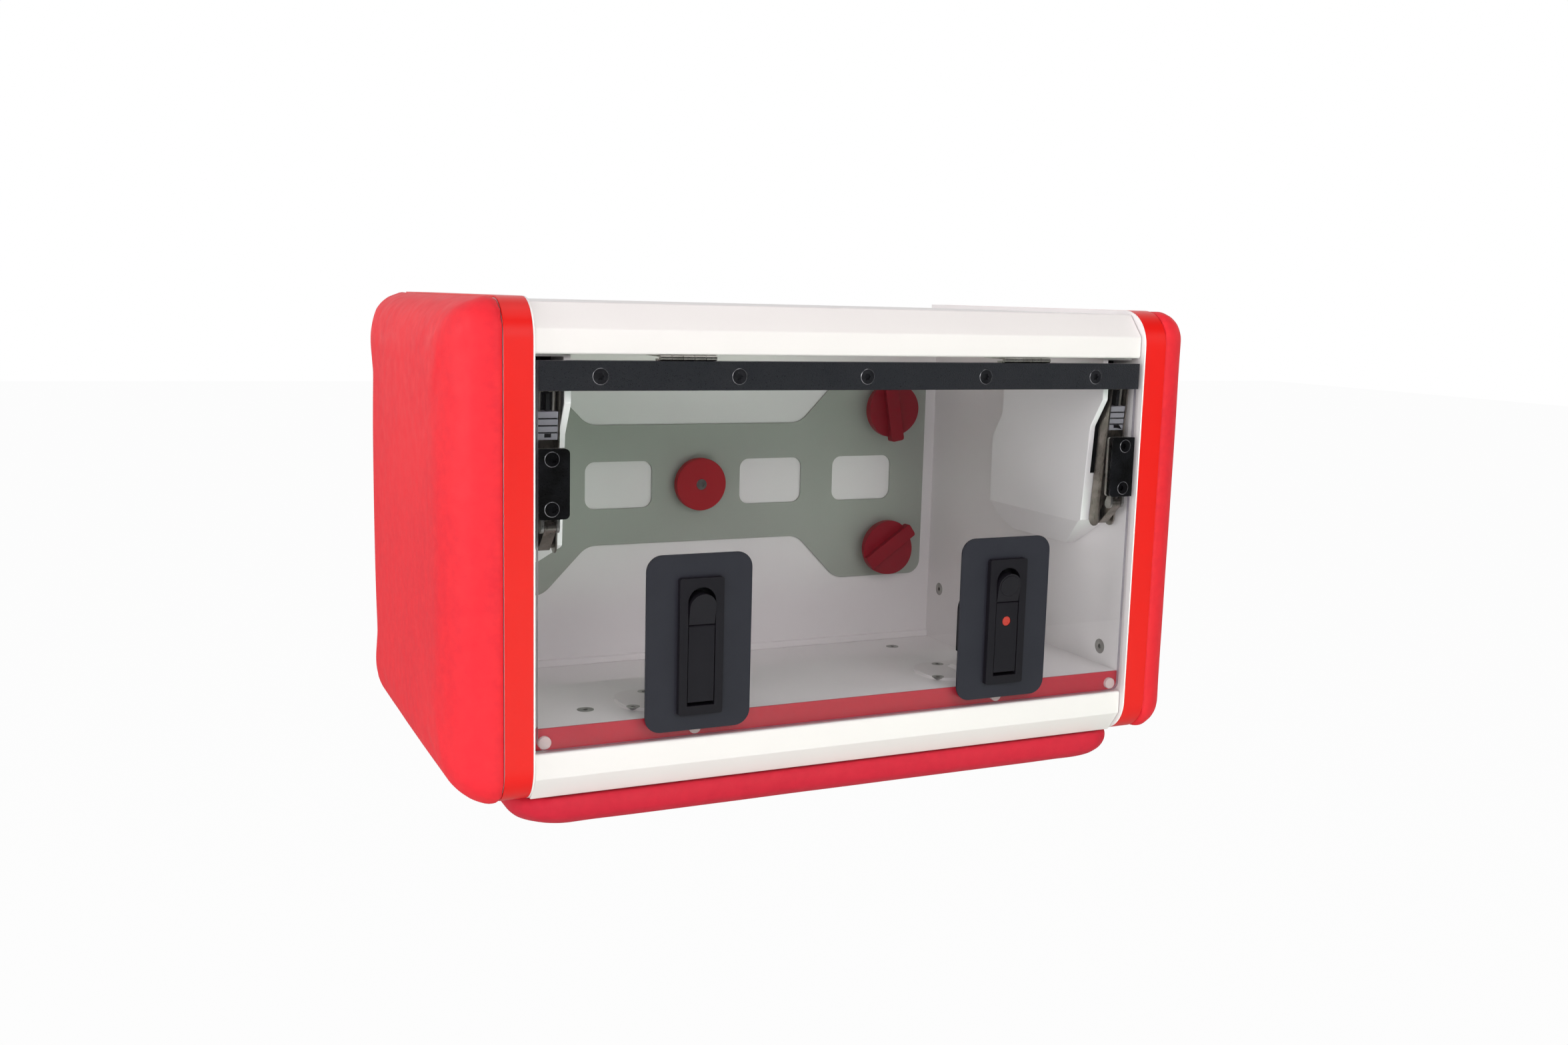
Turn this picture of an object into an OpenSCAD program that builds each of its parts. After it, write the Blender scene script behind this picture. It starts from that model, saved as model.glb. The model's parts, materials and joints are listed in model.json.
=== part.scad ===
// Wall cabinet with padded sides and a clear door that lifts up.
// The front faces -Y, +X is to the right and +Z is up.
// The origin is the middle of the four wall inserts, in the plane of the back.

/* [Cabinet] */
// Clear width between the side panels
inner_w = 592; // [560:1:640]
// Height of the side panels
panel_h = 416; // [404:1:440]
// Depth of the side panels
panel_d = 401; // [385:1:430]
// Thickness of the side panels
panel_t = 25; // [20:1:30]
// Corner radius of the side panels, at the front
panel_r = 34; // [20:1:40]
// Thickness of the red edge band
band_t = 2; // [1:0.5:3]
// White face that shows beside the band
face_lip = 1.5; // [1:0.5:3]
// Thickness of the roof board
roof_t = 18; // [15:1:20]
// Thickness of the floor board
floor_t = 16.5; // [15:0.5:18]
// Thickness of the back board
back_t = 15; // [14:1:18]
// Step from the top of the side panels down to the roof
roof_drop = 4; // [2:1:6]
// Step from the bottom of the side panels up to the front rail
foot_gap = 1; // [0.5:0.5:2]

/* [Front rails] */
// Height of the flat front of the top rail
top_face_h = 20; // [18:1:24]
// Height of the flat front of the bottom rail
bottom_face_h = 22; // [20:1:26]
// Height of the slope on both rails
slope_h = 21; // [16:1:24]
// Depth of the slope on the top rail
top_slope_d = 18; // [12:1:22]
// Depth of the slope on the bottom rail
bottom_slope_d = 15; // [10:1:18]
// Depth of the top rail
top_rail_d = 40; // [37:1:46]
// Depth of the bottom rail
bottom_rail_d = 30; // [26:1:36]
// Wall of both rails
rail_wall = 2.5; // [2:0.5:3]

/* [Sill] */
// Height of the sill above the door's lower edge
sill_rise = 17; // [14:1:20]
// Thickness of the sill board
sill_t = 25; // [22:1:27]
// Depth of the sill, with its edging
sill_d = 130; // [110:1:150]
// Thickness of the sill's red edging
edging_t = 2; // [1:0.5:3]
// Thickness of the riser that carries the sill's back edge
riser_t = 12; // [8:1:15]

/* [Pads] */
// Thickness of the side pads
side_pad_t = 44; // [30:1:50]
// How far the side pads stand out round the panels
pad_over = 1; // [0:0.5:4]
// Width of the side pads' crown at the front and back
side_pad_round = 70; // [40:1:90]
// Width of the side pads' crown at the top and bottom
side_pad_round_z = 44; // [25:1:60]
// Corner radius of the side pads
side_pad_corner = 36; // [30:1:50]
// Thickness of the bottom pad
bottom_pad_t = 31; // [24:1:36]
// Half width of the bottom pad beyond the clear width
bottom_pad_over = 14; // [0:1:20]
// Width of the rounding at the bottom pad's edges
bottom_pad_round = 44; // [30:1:50]
// Height of the bottom pad's upright edge
bottom_pad_edge = 8; // [3:1:12]
// Gap between a pad and the board that carries it
pad_gap = 0.3; // [0.2:0.1:0.5]

/* [Door] */
// Set-back of the door's face behind the panels' front edge
door_set = 5; // [4:0.5:8]
// Gap at each side of the door
door_side_gap = 3.5; // [2.5:0.5:5]
// Gap above the door, where the hinge lies
hinge_gap = 5; // [5:0.5:7]
// Gap below the door
door_gap = 2; // [1.5:0.5:4]
// Thickness of the clear sheet
pane_t = 6; // [5:0.5:7]
// Radius of the sheet's lower corners
pane_r = 8; // [4:1:14]
// Height of the strips along the door's top
strip_h = 24; // [22:1:30]
// Thickness of the strip on the outside
strip_t = 3; // [2.5:0.5:4]
// Thickness of the strip on the inside
back_strip_t = 3; // [2:0.5:4]
// Spacing of the strip's screws
strip_screw_step = 121; // [110:1:124]
// Diameter of the strip screws' heads
strip_head_d = 12; // [10:0.5:13]
// Diameter of the strip screws' shanks
strip_shank_d = 6; // [5:0.5:6]
// Height of the clear bumpers
bumper_h = 3.7; // [3:0.1:5]
// Diameter of the clear bumpers
bumper_d = 11; // [8:1:12]

/* [Hinges] */
// Distance of each hinge from the middle
hinge_x = 166; // [150:1:200]
// Width of a hinge
hinge_w = 50; // [40:1:60]
// Diameter of the hinge knuckles
knuckle_d = 4.4; // [4:0.1:4.6]
// Diameter of the hinge pins
hinge_pin_d = 2; // [1.6:0.1:2.2]
// Thickness of the hinge leaves
leaf_t = 1.6; // [1.2:0.1:1.7]
// Length of the fixed leaves
leaf_l = 34; // [28:1:36]
// Height of the moving leaves
moving_leaf_h = 22; // [18:1:24]

/* [Latches] */
// Distance of each latch from the middle
latch_x = 153; // [135:1:180]
// Width of the latch plates
latch_plate_w = 96; // [84:1:104]
// Height of the latch plates
latch_plate_h = 153; // [146:1:160]
// Thickness of the latch plates
latch_plate_t = 2.5; // [2:0.5:3]
// Corner radius of the latch plates
latch_plate_r = 14; // [8:1:18]
// Middle of the latch plates above the door's lower edge
latch_plate_z = 82.5; // [81:0.5:90]
// Width of a latch body
latch_w = 40; // [37:1:44]
// Height of a latch body
latch_h = 118.5; // [116:0.5:124]
// How far a latch body stands out from its plate
latch_proud = 5.5; // [4.5:0.5:7]
// Width of the recess in a latch body
recess_w = 25; // [23:0.5:27]
// Height of the recess
recess_h = 102.5; // [101:0.5:104]
// Depth of the recess
recess_d = 12; // [11:0.5:14]
// Middle of a latch body above the door's lower edge
latch_z = 79.8; // [79:0.1:84]
// Height of the fixed boss at the top of the recess
boss_h = 27; // [25:0.5:28]
// How far the top of the boss stands out from the body
boss_proud = 5; // [3:0.5:6]
// Thickness of the lifting handle
handle_t = 6; // [5:0.5:7]
// Gap round the handle
handle_gap = 0.7; // [0.5:0.1:1]
// Open gap below the handle, for a fingertip
finger_gap = 3.2; // [2.5:0.1:5]
// Diameter of the handle's pivot
handle_pin_d = 2.4; // [2:0.1:2.6]
// Diameter of the push button in the right boss
button_d = 20; // [16:0.5:21]
// How far the push button stands out from the boss
button_proud = 0.6; // [0.3:0.1:2]
// Travel of the push button
button_travel = 1.5; // [1:0.1:2]
// Diameter of the red indicator in the right handle
dot_d = 9; // [7:0.5:11]
// Diameter of the gearbox behind each latch
gearbox_d = 48; // [44:1:52]
// Length of the gearbox
gearbox_l = 34; // [28:1:38]
// Thickness of the cam
cam_t = 6; // [4:0.5:7]
// Width of the cam
cam_w = 44; // [36:1:46]
// Reach of the cam below its axis
cam_reach = 48; // [40:1:49]

/* [Lift] */
// Distance of the lift arms from the side panels
lift_inset = 15; // [14:0.5:16]
// Depth of the arms' pivots behind the door's face
arm_y = 18; // [17:0.5:19]
// Drop of the arms' pivots below the hinge axis
arm_drop = 17.5; // [16.5:0.5:18.5]
// Depth of the door's pivots behind the clear sheet
door_pivot_gap = 5; // [4.6:0.1:5.3]
// Drop of the door's pivots below the hinge axis
door_pivot_drop = 137.5; // [132:0.5:141]
// Width of the lift arm
arm_w = 20; // [19:0.5:20.5]
// Depth of the lift arm
arm_d = 14; // [13:0.5:14]
// Sheet thickness of the lift arm
arm_wall = 1.5; // [1:0.1:1.6]
// Width of the link
link_w = 10; // [8:0.5:10]
// Diameter of the arm's fixed pivot
pivot_d = 6; // [5:0.5:7]
// Diameter of the link's pins
link_pin_d = 5; // [4:0.5:5]
// Thickness of the ear that carries the arm
ear_w = 7; // [6:0.5:7]
// Depth of the housing from the side panel
housing_w = 34; // [33:0.5:38]
// Wall of the housing
housing_wall = 2.5; // [2:0.5:3]
// Width of the bracket plates on the door
bracket_w = 25.6; // [25:0.1:26]
// Height of the bracket plates
bracket_h = 57; // [52:1:62]
// Thickness of the bracket plates
bracket_t = 2.5; // [2:0.5:3]
// Thickness of the clips behind the bracket plates
clip_t = 3; // [2:0.5:3.5]
// Diameter of the bracket screws' heads
bracket_head_d = 11; // [9:0.5:11]

/* [Mounting plate] */
// Thickness of the plate on the back board
plate_t = 3; // [2:0.5:4]
// Height of the plate
plate_h = 235; // [225:1:245]
// Height of the plate between its notches
plate_waist = 131; // [120:1:140]
// Gap from the plate to the right side panel
plate_right_gap = 15; // [5:1:25]
// Gap from the plate to the left side panel
plate_left_gap = 1; // [1:1:5]
// Sideways place of the plate's pattern
pattern_x = -9; // [-12:1:0]
// Width of each window
window_w = 76.5; // [70:0.5:80]
// Height of each window
window_h = 51.5; // [44:0.5:56]
// Corner radius of the windows
window_r = 11; // [6:1:14]
// Distance of the inner windows from the pattern's middle
window_in = 90.5; // [85:0.5:95]
// Distance of the outer windows from the pattern's middle
window_out = 207; // [190:1:212]
// Half width of the notches at the waist
notch_in = 126; // [110:1:130]
// Half width of the notches at the plate's edge
notch_out = 176; // [165:1:190]
// Diameter of the centre disc
disc_d = 58; // [50:1:62]
// Thickness of the centre disc
disc_t = 9; // [6:1:12]
// Stand-off of the centre disc from the plate
disc_lift = 7; // [4:1:10]
// Diameter of the hub that carries the centre disc
disc_hub_d = 34; // [24:1:44]
// Diameter of the turn knobs
knob_d = 63.5; // [56:0.5:66]
// Thickness of the knobs' disc
knob_t = 10; // [8:1:14]
// Length of the hub behind the knobs' disc
knob_hub_l = 14; // [8:1:18]
// Diameter of the hub behind the knobs' disc
knob_hub_d = 40; // [30:1:50]
// Depth of the finger scoops beside the knobs' grip bar
scoop_h = 6; // [3:0.5:7]
// Width of the knobs' grip bar
grip_w = 16; // [13:0.5:20]
// Reach of the grip bar beyond the knob
grip_over = 5; // [3:0.5:7]
// Distance of the knobs from the pattern's middle
knob_x = 235; // [225:1:238]
// Height of the knobs above and below the plate's middle
knob_z = 81; // [76:1:84]
// Diameter of the knobs' studs
stud_d = 8; // [6:0.5:10]

/* [Wall inserts] */
// Width between the wall inserts
insert_w = 480; // [420:1:520]
// Height between the wall inserts
insert_h = 250; // [200:1:300]
// Bore of the wall inserts
insert_bore_d = 8; // [6:0.5:8]
// Outer diameter of the wall inserts
insert_d = 12; // [10:0.5:14]
// Length of the wall inserts
insert_l = 11; // [8:0.5:12]

/* [Hidden] */

$fn = 48;
fit = 0.05;                // clearance of a fixed pin or screw in its hole
run = 0.3;                 // clearance between pieces that move past each other
skim = 1;                  // how far a cutter runs past a face
skin = 0.2;                // thickness of the slices that shape a cushion
insert_spare = 1.5;        // depth of the insert holes beyond the inserts, for a screw's end

// Colours
paint_white = "#ECE9E6";
pad_red = "#E3353C";
band_red = "#EE2C2A";
knob_red = "#8E1420";
gloss_black = "#141416";
plate_blue = "#33353E";
latch_black = "#26242A";
steel = "#B9BBBD";
plate_grey = "#6E726A";
clear_tint = [0.78, 0.82, 0.86, 0.35];

// Main faces
half_w = inner_w / 2;
z_top = panel_h / 2;
z_bottom = -panel_h / 2;
face_y = door_set - panel_d;
roof_top = z_top - roof_drop;
top_rail_z = roof_top - slope_h - top_face_h;
bottom_rail_z = z_bottom + foot_gap;
bottom_rail_top = bottom_rail_z + slope_h + bottom_face_h;
floor_top = z_bottom + floor_t;
back_y = -back_t;

// Door
door_top = top_rail_z - hinge_gap;
door_bottom = bottom_rail_top + door_gap;
door_h = door_top - door_bottom;
door_w = inner_w - 2 * door_side_gap;
hinge_z = door_top + hinge_gap / 2;
pane_back = face_y + pane_t;
strip_z = door_top - strip_h / 2;
strip_screw_z = strip_z - 0.4;
strip_screw_x = [for (i = [-2 : 2]) i * strip_screw_step];

// Sill
sill_top = door_bottom + sill_rise;
sill_y = pane_back + bumper_h + run;
sill_back = sill_y + sill_d;
sill_z = sill_top - sill_t;
rail_lip = sill_y + edging_t - face_y - 4;
strike_t = 3;
strike_w = 104;
strike_d = 62;
strike_y = sill_y + 50;
strike_ramp = 4;
strike_screw_at = [[45, -21], [20, 22]];

// Lift linkage: the arm and the door keep parallel, and the link never tips
lift_x = half_w - lift_inset;
arm_pivot = [face_y + arm_y, hinge_z - arm_drop];
door_pivot_y = pane_t + door_pivot_gap;
link_d = 2 * (door_pivot_gap - 0.5);
door_pivot = [face_y + door_pivot_y, hinge_z - door_pivot_drop];
arm_l = norm([door_pivot_y, door_pivot_drop]);
arm_tilt = atan2(door_pivot_y, door_pivot_drop);
link_l = norm([arm_y, arm_drop]);
link_tip = atan2(arm_y, arm_drop);
arm_end = arm_pivot + [door_pivot_y, -door_pivot_drop];
bracket_z = hinge_z - 101.2;
bracket_x = door_w / 2 - bracket_w / 2;
bracket_screw_z = [bracket_z - 20.2, bracket_z + 20.2];
link_ear_t = 2.5;

// Outline of the lift housing seen from the side, from the door's face and the hinge axis
housing_points = [
    [13, hinge_gap / 2], [13, -37.5], [30, -64.5], [38, -157.5], [90, -189.5], [188, -189.5],
    [201, -177.5], [201, -88.5], [184, -64.5], [184, hinge_gap / 2]
];
housing_slot_z = -110.5;
housing_toe = 22;          // how far the foot of the housing leans to the side panel
housing_toe_h = 30;
unit_y = [50, 180];
unit_z = [-132.5, hinge_gap / 2 - housing_wall - 0.3];
unit_plate_t = 3;
unit_side_gap = 6;

// Latches
body_y = face_y - latch_plate_t;
body_face = body_y - latch_proud;
body_z = door_bottom + latch_z;
recess_floor = body_face + recess_d;
tub_wall = 2.5;
tub_back = max(recess_floor + tub_wall, pane_back);
boss_w = recess_w - 2 * handle_gap;
boss_top = body_z + recess_h / 2 - 5;
boss_bottom = boss_top - boss_h;
handle_top = boss_bottom - handle_gap;
handle_bottom = body_z - recess_h / 2 + finger_gap;
handle_y = body_face + 0.4;
handle_axis = [handle_y + 1.9, handle_top - 1.9];
button_z = boss_top - boss_w / 2;
dot_z = handle_top - 18;
cam_z = door_bottom + 82;
gearbox_back = tub_back + gearbox_l;
cam_y = gearbox_back + run;
cam_pin_d = 10;

// Plate on the back board
plate_y = back_y - plate_t;
plate_z = door_bottom + 167.5;
plate_x0 = -half_w + plate_left_gap;
plate_x1 = half_w - plate_right_gap;
plate_corner = 16;
notch_round = 26;
disc_y = plate_y - disc_lift - disc_t;
disc_screw_l = disc_lift + disc_t + plate_t + 6;
knob_y = plate_y - run;
knob_hole = 8;
cove_h = 8;
cove_t = 3;

// Places of the interior screws: [side, y, z] on the walls, then [x, y, z] on the boards
panel_head_d = 15;
panel_head_h = 4;
panel_shank_d = 5;
panel_screw_l = 14;
wall_screws = [for (s = [-1, 1], p = [[face_y + 40, 35], [back_y - 27, 33]])
    [s, p[0], door_bottom + p[1]]];
board_screws = [[59.5 - half_w, sill_y + 43.5, sill_top], [half_w - 68, back_y - 39, floor_top]];

// Extrudes a profile drawn as [y, z] from x0 to x1
module along_x(x0, x1) {
    translate([x0, 0, 0]) rotate([90, 0, 90]) linear_extrude(x1 - x0) children();
}

// Extrudes a profile drawn as [x, z] from y0 to y1
module along_y(y0, y1) {
    translate([0, y1, 0]) rotate([90, 0, 0]) linear_extrude(y1 - y0) children();
}

module rod_x(x0, x1, y, z, d) {
    translate([x0, y, z]) rotate([0, 90, 0]) cylinder(h = x1 - x0, d = d);
}

module rod_y(y0, y1, x, z, d) {
    translate([x, y0, z]) rotate([-90, 0, 0]) cylinder(h = y1 - y0, d = d);
}

module block(x0, x1, y0, y1, z0, z1) {
    translate([x0, y0, z0]) cube([x1 - x0, y1 - y0, z1 - z0]);
}

module rounded(w, h, r) {
    square([w - 2 * r, h], center = true);
    square([w, h - 2 * r], center = true);
    for (x = [-1, 1], z = [-1, 1])
        translate([x * (w / 2 - r), z * (h / 2 - r)]) circle(r);
}

module both() {
    children();
    mirror([1, 0, 0]) children();
}

function unit_of(v) = v / norm(v);

// Moves every side of a clockwise outline inwards by d
function inset(p, d) = let (n = len(p)) [
    for (i = [0 : n - 1])
        let (a = unit_of(p[i] - p[(i + n - 1) % n]), b = unit_of(p[(i + 1) % n] - p[i]))
        let (na = [-a[1], a[0]], nb = [-b[1], b[0]])
        p[i] + (na + nb) * d / (1 + na * nb)
];

// Rounds one corner of an outline, given the points before and after it
function corner(a, p, b, r, steps = 8) =
    let (u = unit_of(a - p), v = unit_of(b - p), half = acos(u * v) / 2)
    let (mid = p + unit_of(u + v) * r / sin(half))
    let (s = p + u * r / tan(half) - mid, e = p + v * r / tan(half) - mid)
    let (turn = 180 - 2 * half, sign = s[0] * e[1] - s[1] * e[0] > 0 ? 1 : -1)
    [for (i = [0 : steps]) let (t = sign * turn * i / steps)
        mid + [s[0] * cos(t) - s[1] * sin(t), s[0] * sin(t) + s[1] * cos(t)]];

function round_off(p, r) = let (n = len(p)) [
    for (i = [0 : n - 1])
        each (r[i] == 0 ? [p[i]] : corner(p[(i + n - 1) % n], p[i], p[(i + 1) % n], r[i]))
];

// Countersunk screw with its head's top at the origin, pointing down
module screw(head_d, head_h, shank_d, length, drive_d) {
    difference() {
        union() {
            translate([0, 0, -head_h]) cylinder(h = head_h, d1 = shank_d, d2 = head_d);
            translate([0, 0, -length]) cylinder(h = length - head_h, d = shank_d);
        }
        translate([0, 0, -head_h * 0.6]) linear_extrude(head_h) star(drive_d);
    }
}

module screw_hole(head_d, head_h, shank_d, length) {
    translate([0, 0, -head_h]) cylinder(h = head_h, d1 = shank_d + 2 * fit, d2 = head_d + 2 * fit);
    translate([0, 0, -length - fit]) cylinder(h = length, d = shank_d + 2 * fit);
    cylinder(h = skim, d = head_d + 2 * fit);
}

// Six-lobed driver recess
module star(d) {
    circle(d * 0.38);
    for (a = [0 : 60 : 300]) rotate(a) translate([d * 0.38, 0]) circle(d * 0.12);
}

// Side panels, their bands and pads
module panel_outline(less) {
    w = panel_d - 2 * less;
    h = panel_h - 2 * less;
    translate([-panel_d / 2, 0]) {
        rounded(w, h, panel_r - less);
        translate([0, -h / 2]) square([w / 2, h]);
    }
}

module side_panel(side) {
    difference() {
        union() {
            along_x(half_w, half_w + face_lip) panel_outline(0);
            along_x(half_w + face_lip, half_w + panel_t) panel_outline(band_t);
        }
        for (s = wall_screws) if (s[0] == side)
            translate([half_w, s[1], s[2]]) rotate([0, -90, 0])
                screw_hole(panel_head_d, panel_head_h, panel_shank_d, panel_screw_l);
    }
}

module left_side_panel() { color(paint_white) mirror([1, 0, 0]) side_panel(-1); }
module right_side_panel() { color(paint_white) side_panel(1); }

module edge_band() {
    along_x(half_w + face_lip, half_w + panel_t) difference() {
        panel_outline(0);
        panel_outline(band_t);
    }
}

module left_edge_band() { color(band_red) mirror([1, 0, 0]) edge_band(); }
module right_edge_band() { color(band_red) edge_band(); }

// Crowned cushion: slices of the panel's outline that draw in as they rise
module side_pad() {
    slices = 8;
    r = side_pad_corner;
    translate([half_w + panel_t + pad_gap, -(panel_d + pad_over) / 2, 0]) hull()
        for (i = [0 : slices]) {
            in = 1 - cos(90 * i / slices);
            w = panel_d + pad_over - 2 * side_pad_round * in;
            h = panel_h + 2 * pad_over - 2 * side_pad_round_z * in;
            top = max(skin, side_pad_t * sin(90 * i / slices));
            along_x(top - skin, top) rounded(w, h, r, $fn = 32);
        }
}

module left_side_pad() { color(pad_red) mirror([1, 0, 0]) side_pad(); }
module right_side_pad() { color(pad_red) side_pad(); }

// Flat round cushion corner: upright at its edge, rounded over below
module puck(r, h, edge, round_w) {
    n = 8;
    rotate_extrude($fn = 36) polygon(concat([[0, 0], [r, 0]],
        [for (i = [0 : n]) let (a = 90 * i / n)
            [r - round_w + round_w * cos(a), edge + (h - edge) * sin(a)]],
        [[0, h]]));
}

module bottom_pad() {
    reach_x = half_w + bottom_pad_over;
    front = face_y + 8;
    back = -8;
    corner_r = 60;
    color(pad_red) translate([0, (front + back) / 2, z_bottom - pad_gap]) hull()
        for (x = [-1, 1], y = [-1, 1])
            translate([x * (reach_x - corner_r), y * ((back - front) / 2 - corner_r), 0])
                rotate([180, 0, 0])
                    puck(corner_r, bottom_pad_t, bottom_pad_edge, bottom_pad_round);
}

// Front rails: closed sections drawn from the door's face
function top_rail_points() = [
    [0, top_rail_z], [0, top_rail_z + top_face_h], [top_slope_d, roof_top],
    [top_rail_d, roof_top], [top_rail_d, top_rail_z]
];

function bottom_rail_points() = [
    [0, bottom_rail_z + slope_h], [0, bottom_rail_top], [rail_lip, bottom_rail_top],
    [rail_lip, sill_z], [bottom_rail_d, sill_z], [bottom_rail_d, bottom_rail_z],
    [bottom_slope_d, bottom_rail_z]
];

module rail(points) {
    translate([0, face_y, 0]) along_x(-half_w, half_w) difference() {
        polygon(points);
        polygon(inset(points, -rail_wall));
    }
}

module top_front_rail() { color(paint_white) rail(top_rail_points()); }
module bottom_front_rail() { color(paint_white) rail(bottom_rail_points()); }

// Boards
module roof_panel() {
    color(paint_white) block(-half_w, half_w, face_y + top_rail_d, back_y, roof_top - roof_t, roof_top);
}

module floor_panel() {
    color(paint_white) difference() {
        block(-half_w, half_w, face_y + bottom_rail_d, back_y, z_bottom, floor_top);
        translate(board_screws[1])
            screw_hole(panel_head_d, panel_head_h, panel_shank_d, panel_screw_l);
    }
}

module back_panel() {
    color(paint_white) difference() {
        block(-half_w, half_w, back_y, 0, z_bottom, roof_top);
        for (x = [-1, 1], z = [-1, 1])
            rod_y(-insert_l - insert_spare, skim, x * insert_w / 2, z * insert_h / 2, insert_d + 2 * fit);
        for (p = knob_places())
            rod_y(back_y - skim, back_y + knob_hole, p[0], p[1], stud_d + 2 * fit);
        rod_y(back_y - skim, back_y + 8, pattern_x, plate_z, strip_shank_d + 2 * fit);
    }
}

module back_inserts() {
    color(steel) for (x = [-1, 1], z = [-1, 1]) difference() {
        rod_y(-insert_l, 0, x * insert_w / 2, z * insert_h / 2, insert_d);
        rod_y(-insert_l - skim, skim, x * insert_w / 2, z * insert_h / 2, insert_bore_d);
    }
}

module sill_board() {
    color(paint_white) difference() {
        union() {
            block(-half_w, half_w, sill_y + edging_t, sill_back, sill_z, sill_top);
            block(-half_w, half_w, sill_back - riser_t, sill_back, floor_top, sill_z);
        }
        translate(board_screws[0])
            screw_hole(panel_head_d, panel_head_h, panel_shank_d, panel_screw_l);
        each_strike() for (p = strike_screw_at, s = [-1, 1])
            translate([s * p[0], p[1], strike_t]) screw_hole(12, 3, 4, 14);
    }
}

module sill_edging() {
    color(band_red)
        block(-half_w, half_w, sill_y, sill_y + edging_t, bottom_rail_top, sill_top);
}

module back_cove_strip() {
    color(paint_white) along_x(-half_w, half_w)
        polygon([[back_y, floor_top], [back_y - cove_t, floor_top],
            [back_y - cove_t, floor_top + cove_h - 1], [back_y, floor_top + cove_h]]);
}

module panel_screws() {
    color(steel) {
        for (s = wall_screws)
            translate([s[0] * half_w, s[1], s[2]]) rotate([0, -90 * s[0], 0])
                screw(panel_head_d, panel_head_h, panel_shank_d, panel_screw_l, 5);
        for (p = board_screws)
            translate(p) screw(panel_head_d, panel_head_h, panel_shank_d, panel_screw_l, 5);
    }
}

// Strikes on the sill, one below each latch
module each_strike() {
    for (x = [-latch_x, latch_x]) translate([x, strike_y, sill_top]) children();
}

module strike_plates() {
    color(paint_white) each_strike() difference() {
        union() {
            linear_extrude(strike_t) rounded(strike_w, strike_d, 24);
            translate([0, 0, strike_t]) rotate([90, 0, 90]) translate([0, 0, -15])
                linear_extrude(30) polygon([[-12, 0], [-4, strike_ramp], [4, strike_ramp], [12, 0]]);
        }
        for (p = strike_screw_at, s = [-1, 1])
            translate([s * p[0], p[1], strike_t]) screw_hole(12, 3, 4, 14);
    }
}

module strike_screws() {
    color(steel) each_strike() for (p = strike_screw_at, s = [-1, 1])
        translate([s * p[0], p[1], strike_t]) screw(12, 3, 4, 14, 5);
}

// Door sheet, strips and hinges
module door_outline() {
    difference() {
        translate([0, (door_top + door_bottom) / 2]) square([door_w, door_h], center = true);
        for (s = [-1, 1]) translate([s * door_w / 2, door_bottom]) difference() {
            square(2 * pane_r, center = true);
            translate([-s * pane_r, pane_r]) circle(pane_r);
            translate([-s * pane_r, pane_r]) translate([-s * pane_r, 0]) square(2 * pane_r, center = true);
            translate([-s * pane_r, 2 * pane_r]) square(2 * pane_r, center = true);
        }
    }
}

module door_panel() {
    color(clear_tint) difference() {
        along_y(face_y, pane_back) door_outline();
        for (x = strip_screw_x)
            rod_y(face_y - skim, pane_back + skim, x, strip_screw_z, strip_shank_d + 2 * fit);
        for (s = [-1, 1], z = bracket_screw_z)
            rod_y(face_y - skim, pane_back + skim, s * bracket_x, z, bracket_shank_d + 2 * fit);
        for (s = [-1, 1]) translate([s * latch_x, 0, 0]) tub(fit, skim);
    }
}

module door_strip() {
    color(gloss_black) difference() {
        block(-door_w / 2, door_w / 2, face_y - strip_t, face_y, door_top - strip_h, door_top);
        for (x = strip_screw_x) translate([x, face_y - strip_t, strip_screw_z]) rotate([90, 0, 0])
            screw_hole(strip_head_d, strip_t, strip_shank_d, strip_screw_l);
    }
}

module door_back_strip() {
    reach = lift_x - arm_w / 2 - 4;
    color(gloss_black) difference() {
        block(-reach, reach, pane_back, pane_back + back_strip_t, door_top - strip_h, door_top);
        for (x = strip_screw_x)
            rod_y(pane_back - skim, pane_back + back_strip_t + skim, x, strip_screw_z,
                strip_shank_d + 2 * fit);
    }
}

strip_screw_l = strip_t + pane_t + back_strip_t;

module strip_screws() {
    color(steel) for (x = strip_screw_x)
        translate([x, face_y - strip_t, strip_screw_z]) rotate([90, 0, 0])
            screw(strip_head_d, strip_t, strip_shank_d, strip_screw_l, 6.5);
}

// Knuckles of one hinge: five along the pin, the odd ones fixed
knuckle_gap = 0.3;
knuckle_step = hinge_w / 5;

module knuckles(which) {
    for (i = which) difference() {
        rod_x(-hinge_w / 2 + i * knuckle_step + knuckle_gap / 2,
            -hinge_w / 2 + (i + 1) * knuckle_step - knuckle_gap / 2, face_y, hinge_z, knuckle_d);
        rod_x(-hinge_w, hinge_w, face_y, hinge_z, hinge_pin_d + 2 * fit);
    }
}

// Room in a leaf for the other leaf's knuckles
module knuckle_room(which) {
    reach = knuckle_d / 2 + run;
    for (i = which)
        block(-hinge_w / 2 + i * knuckle_step - knuckle_gap / 2,
            -hinge_w / 2 + (i + 1) * knuckle_step + knuckle_gap / 2,
            face_y - reach, face_y + reach, hinge_z - hinge_gap, hinge_z + hinge_gap);
}

module pin_room() {
    rod_x(-hinge_w, hinge_w, face_y, hinge_z, hinge_pin_d + 2 * fit);
}

module hinge_fixed_leaves() {
    color(steel) for (x = [-hinge_x, hinge_x]) translate([x, 0, 0]) {
        difference() {
            union() {
                difference() {
                    block(-hinge_w / 2, hinge_w / 2, face_y + 0.4, face_y + leaf_l,
                        top_rail_z - leaf_t, top_rail_z);
                    knuckle_room([1, 3]);
                }
                knuckles([0, 2, 4]);
            }
            pin_room();
        }
    }
}

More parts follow.
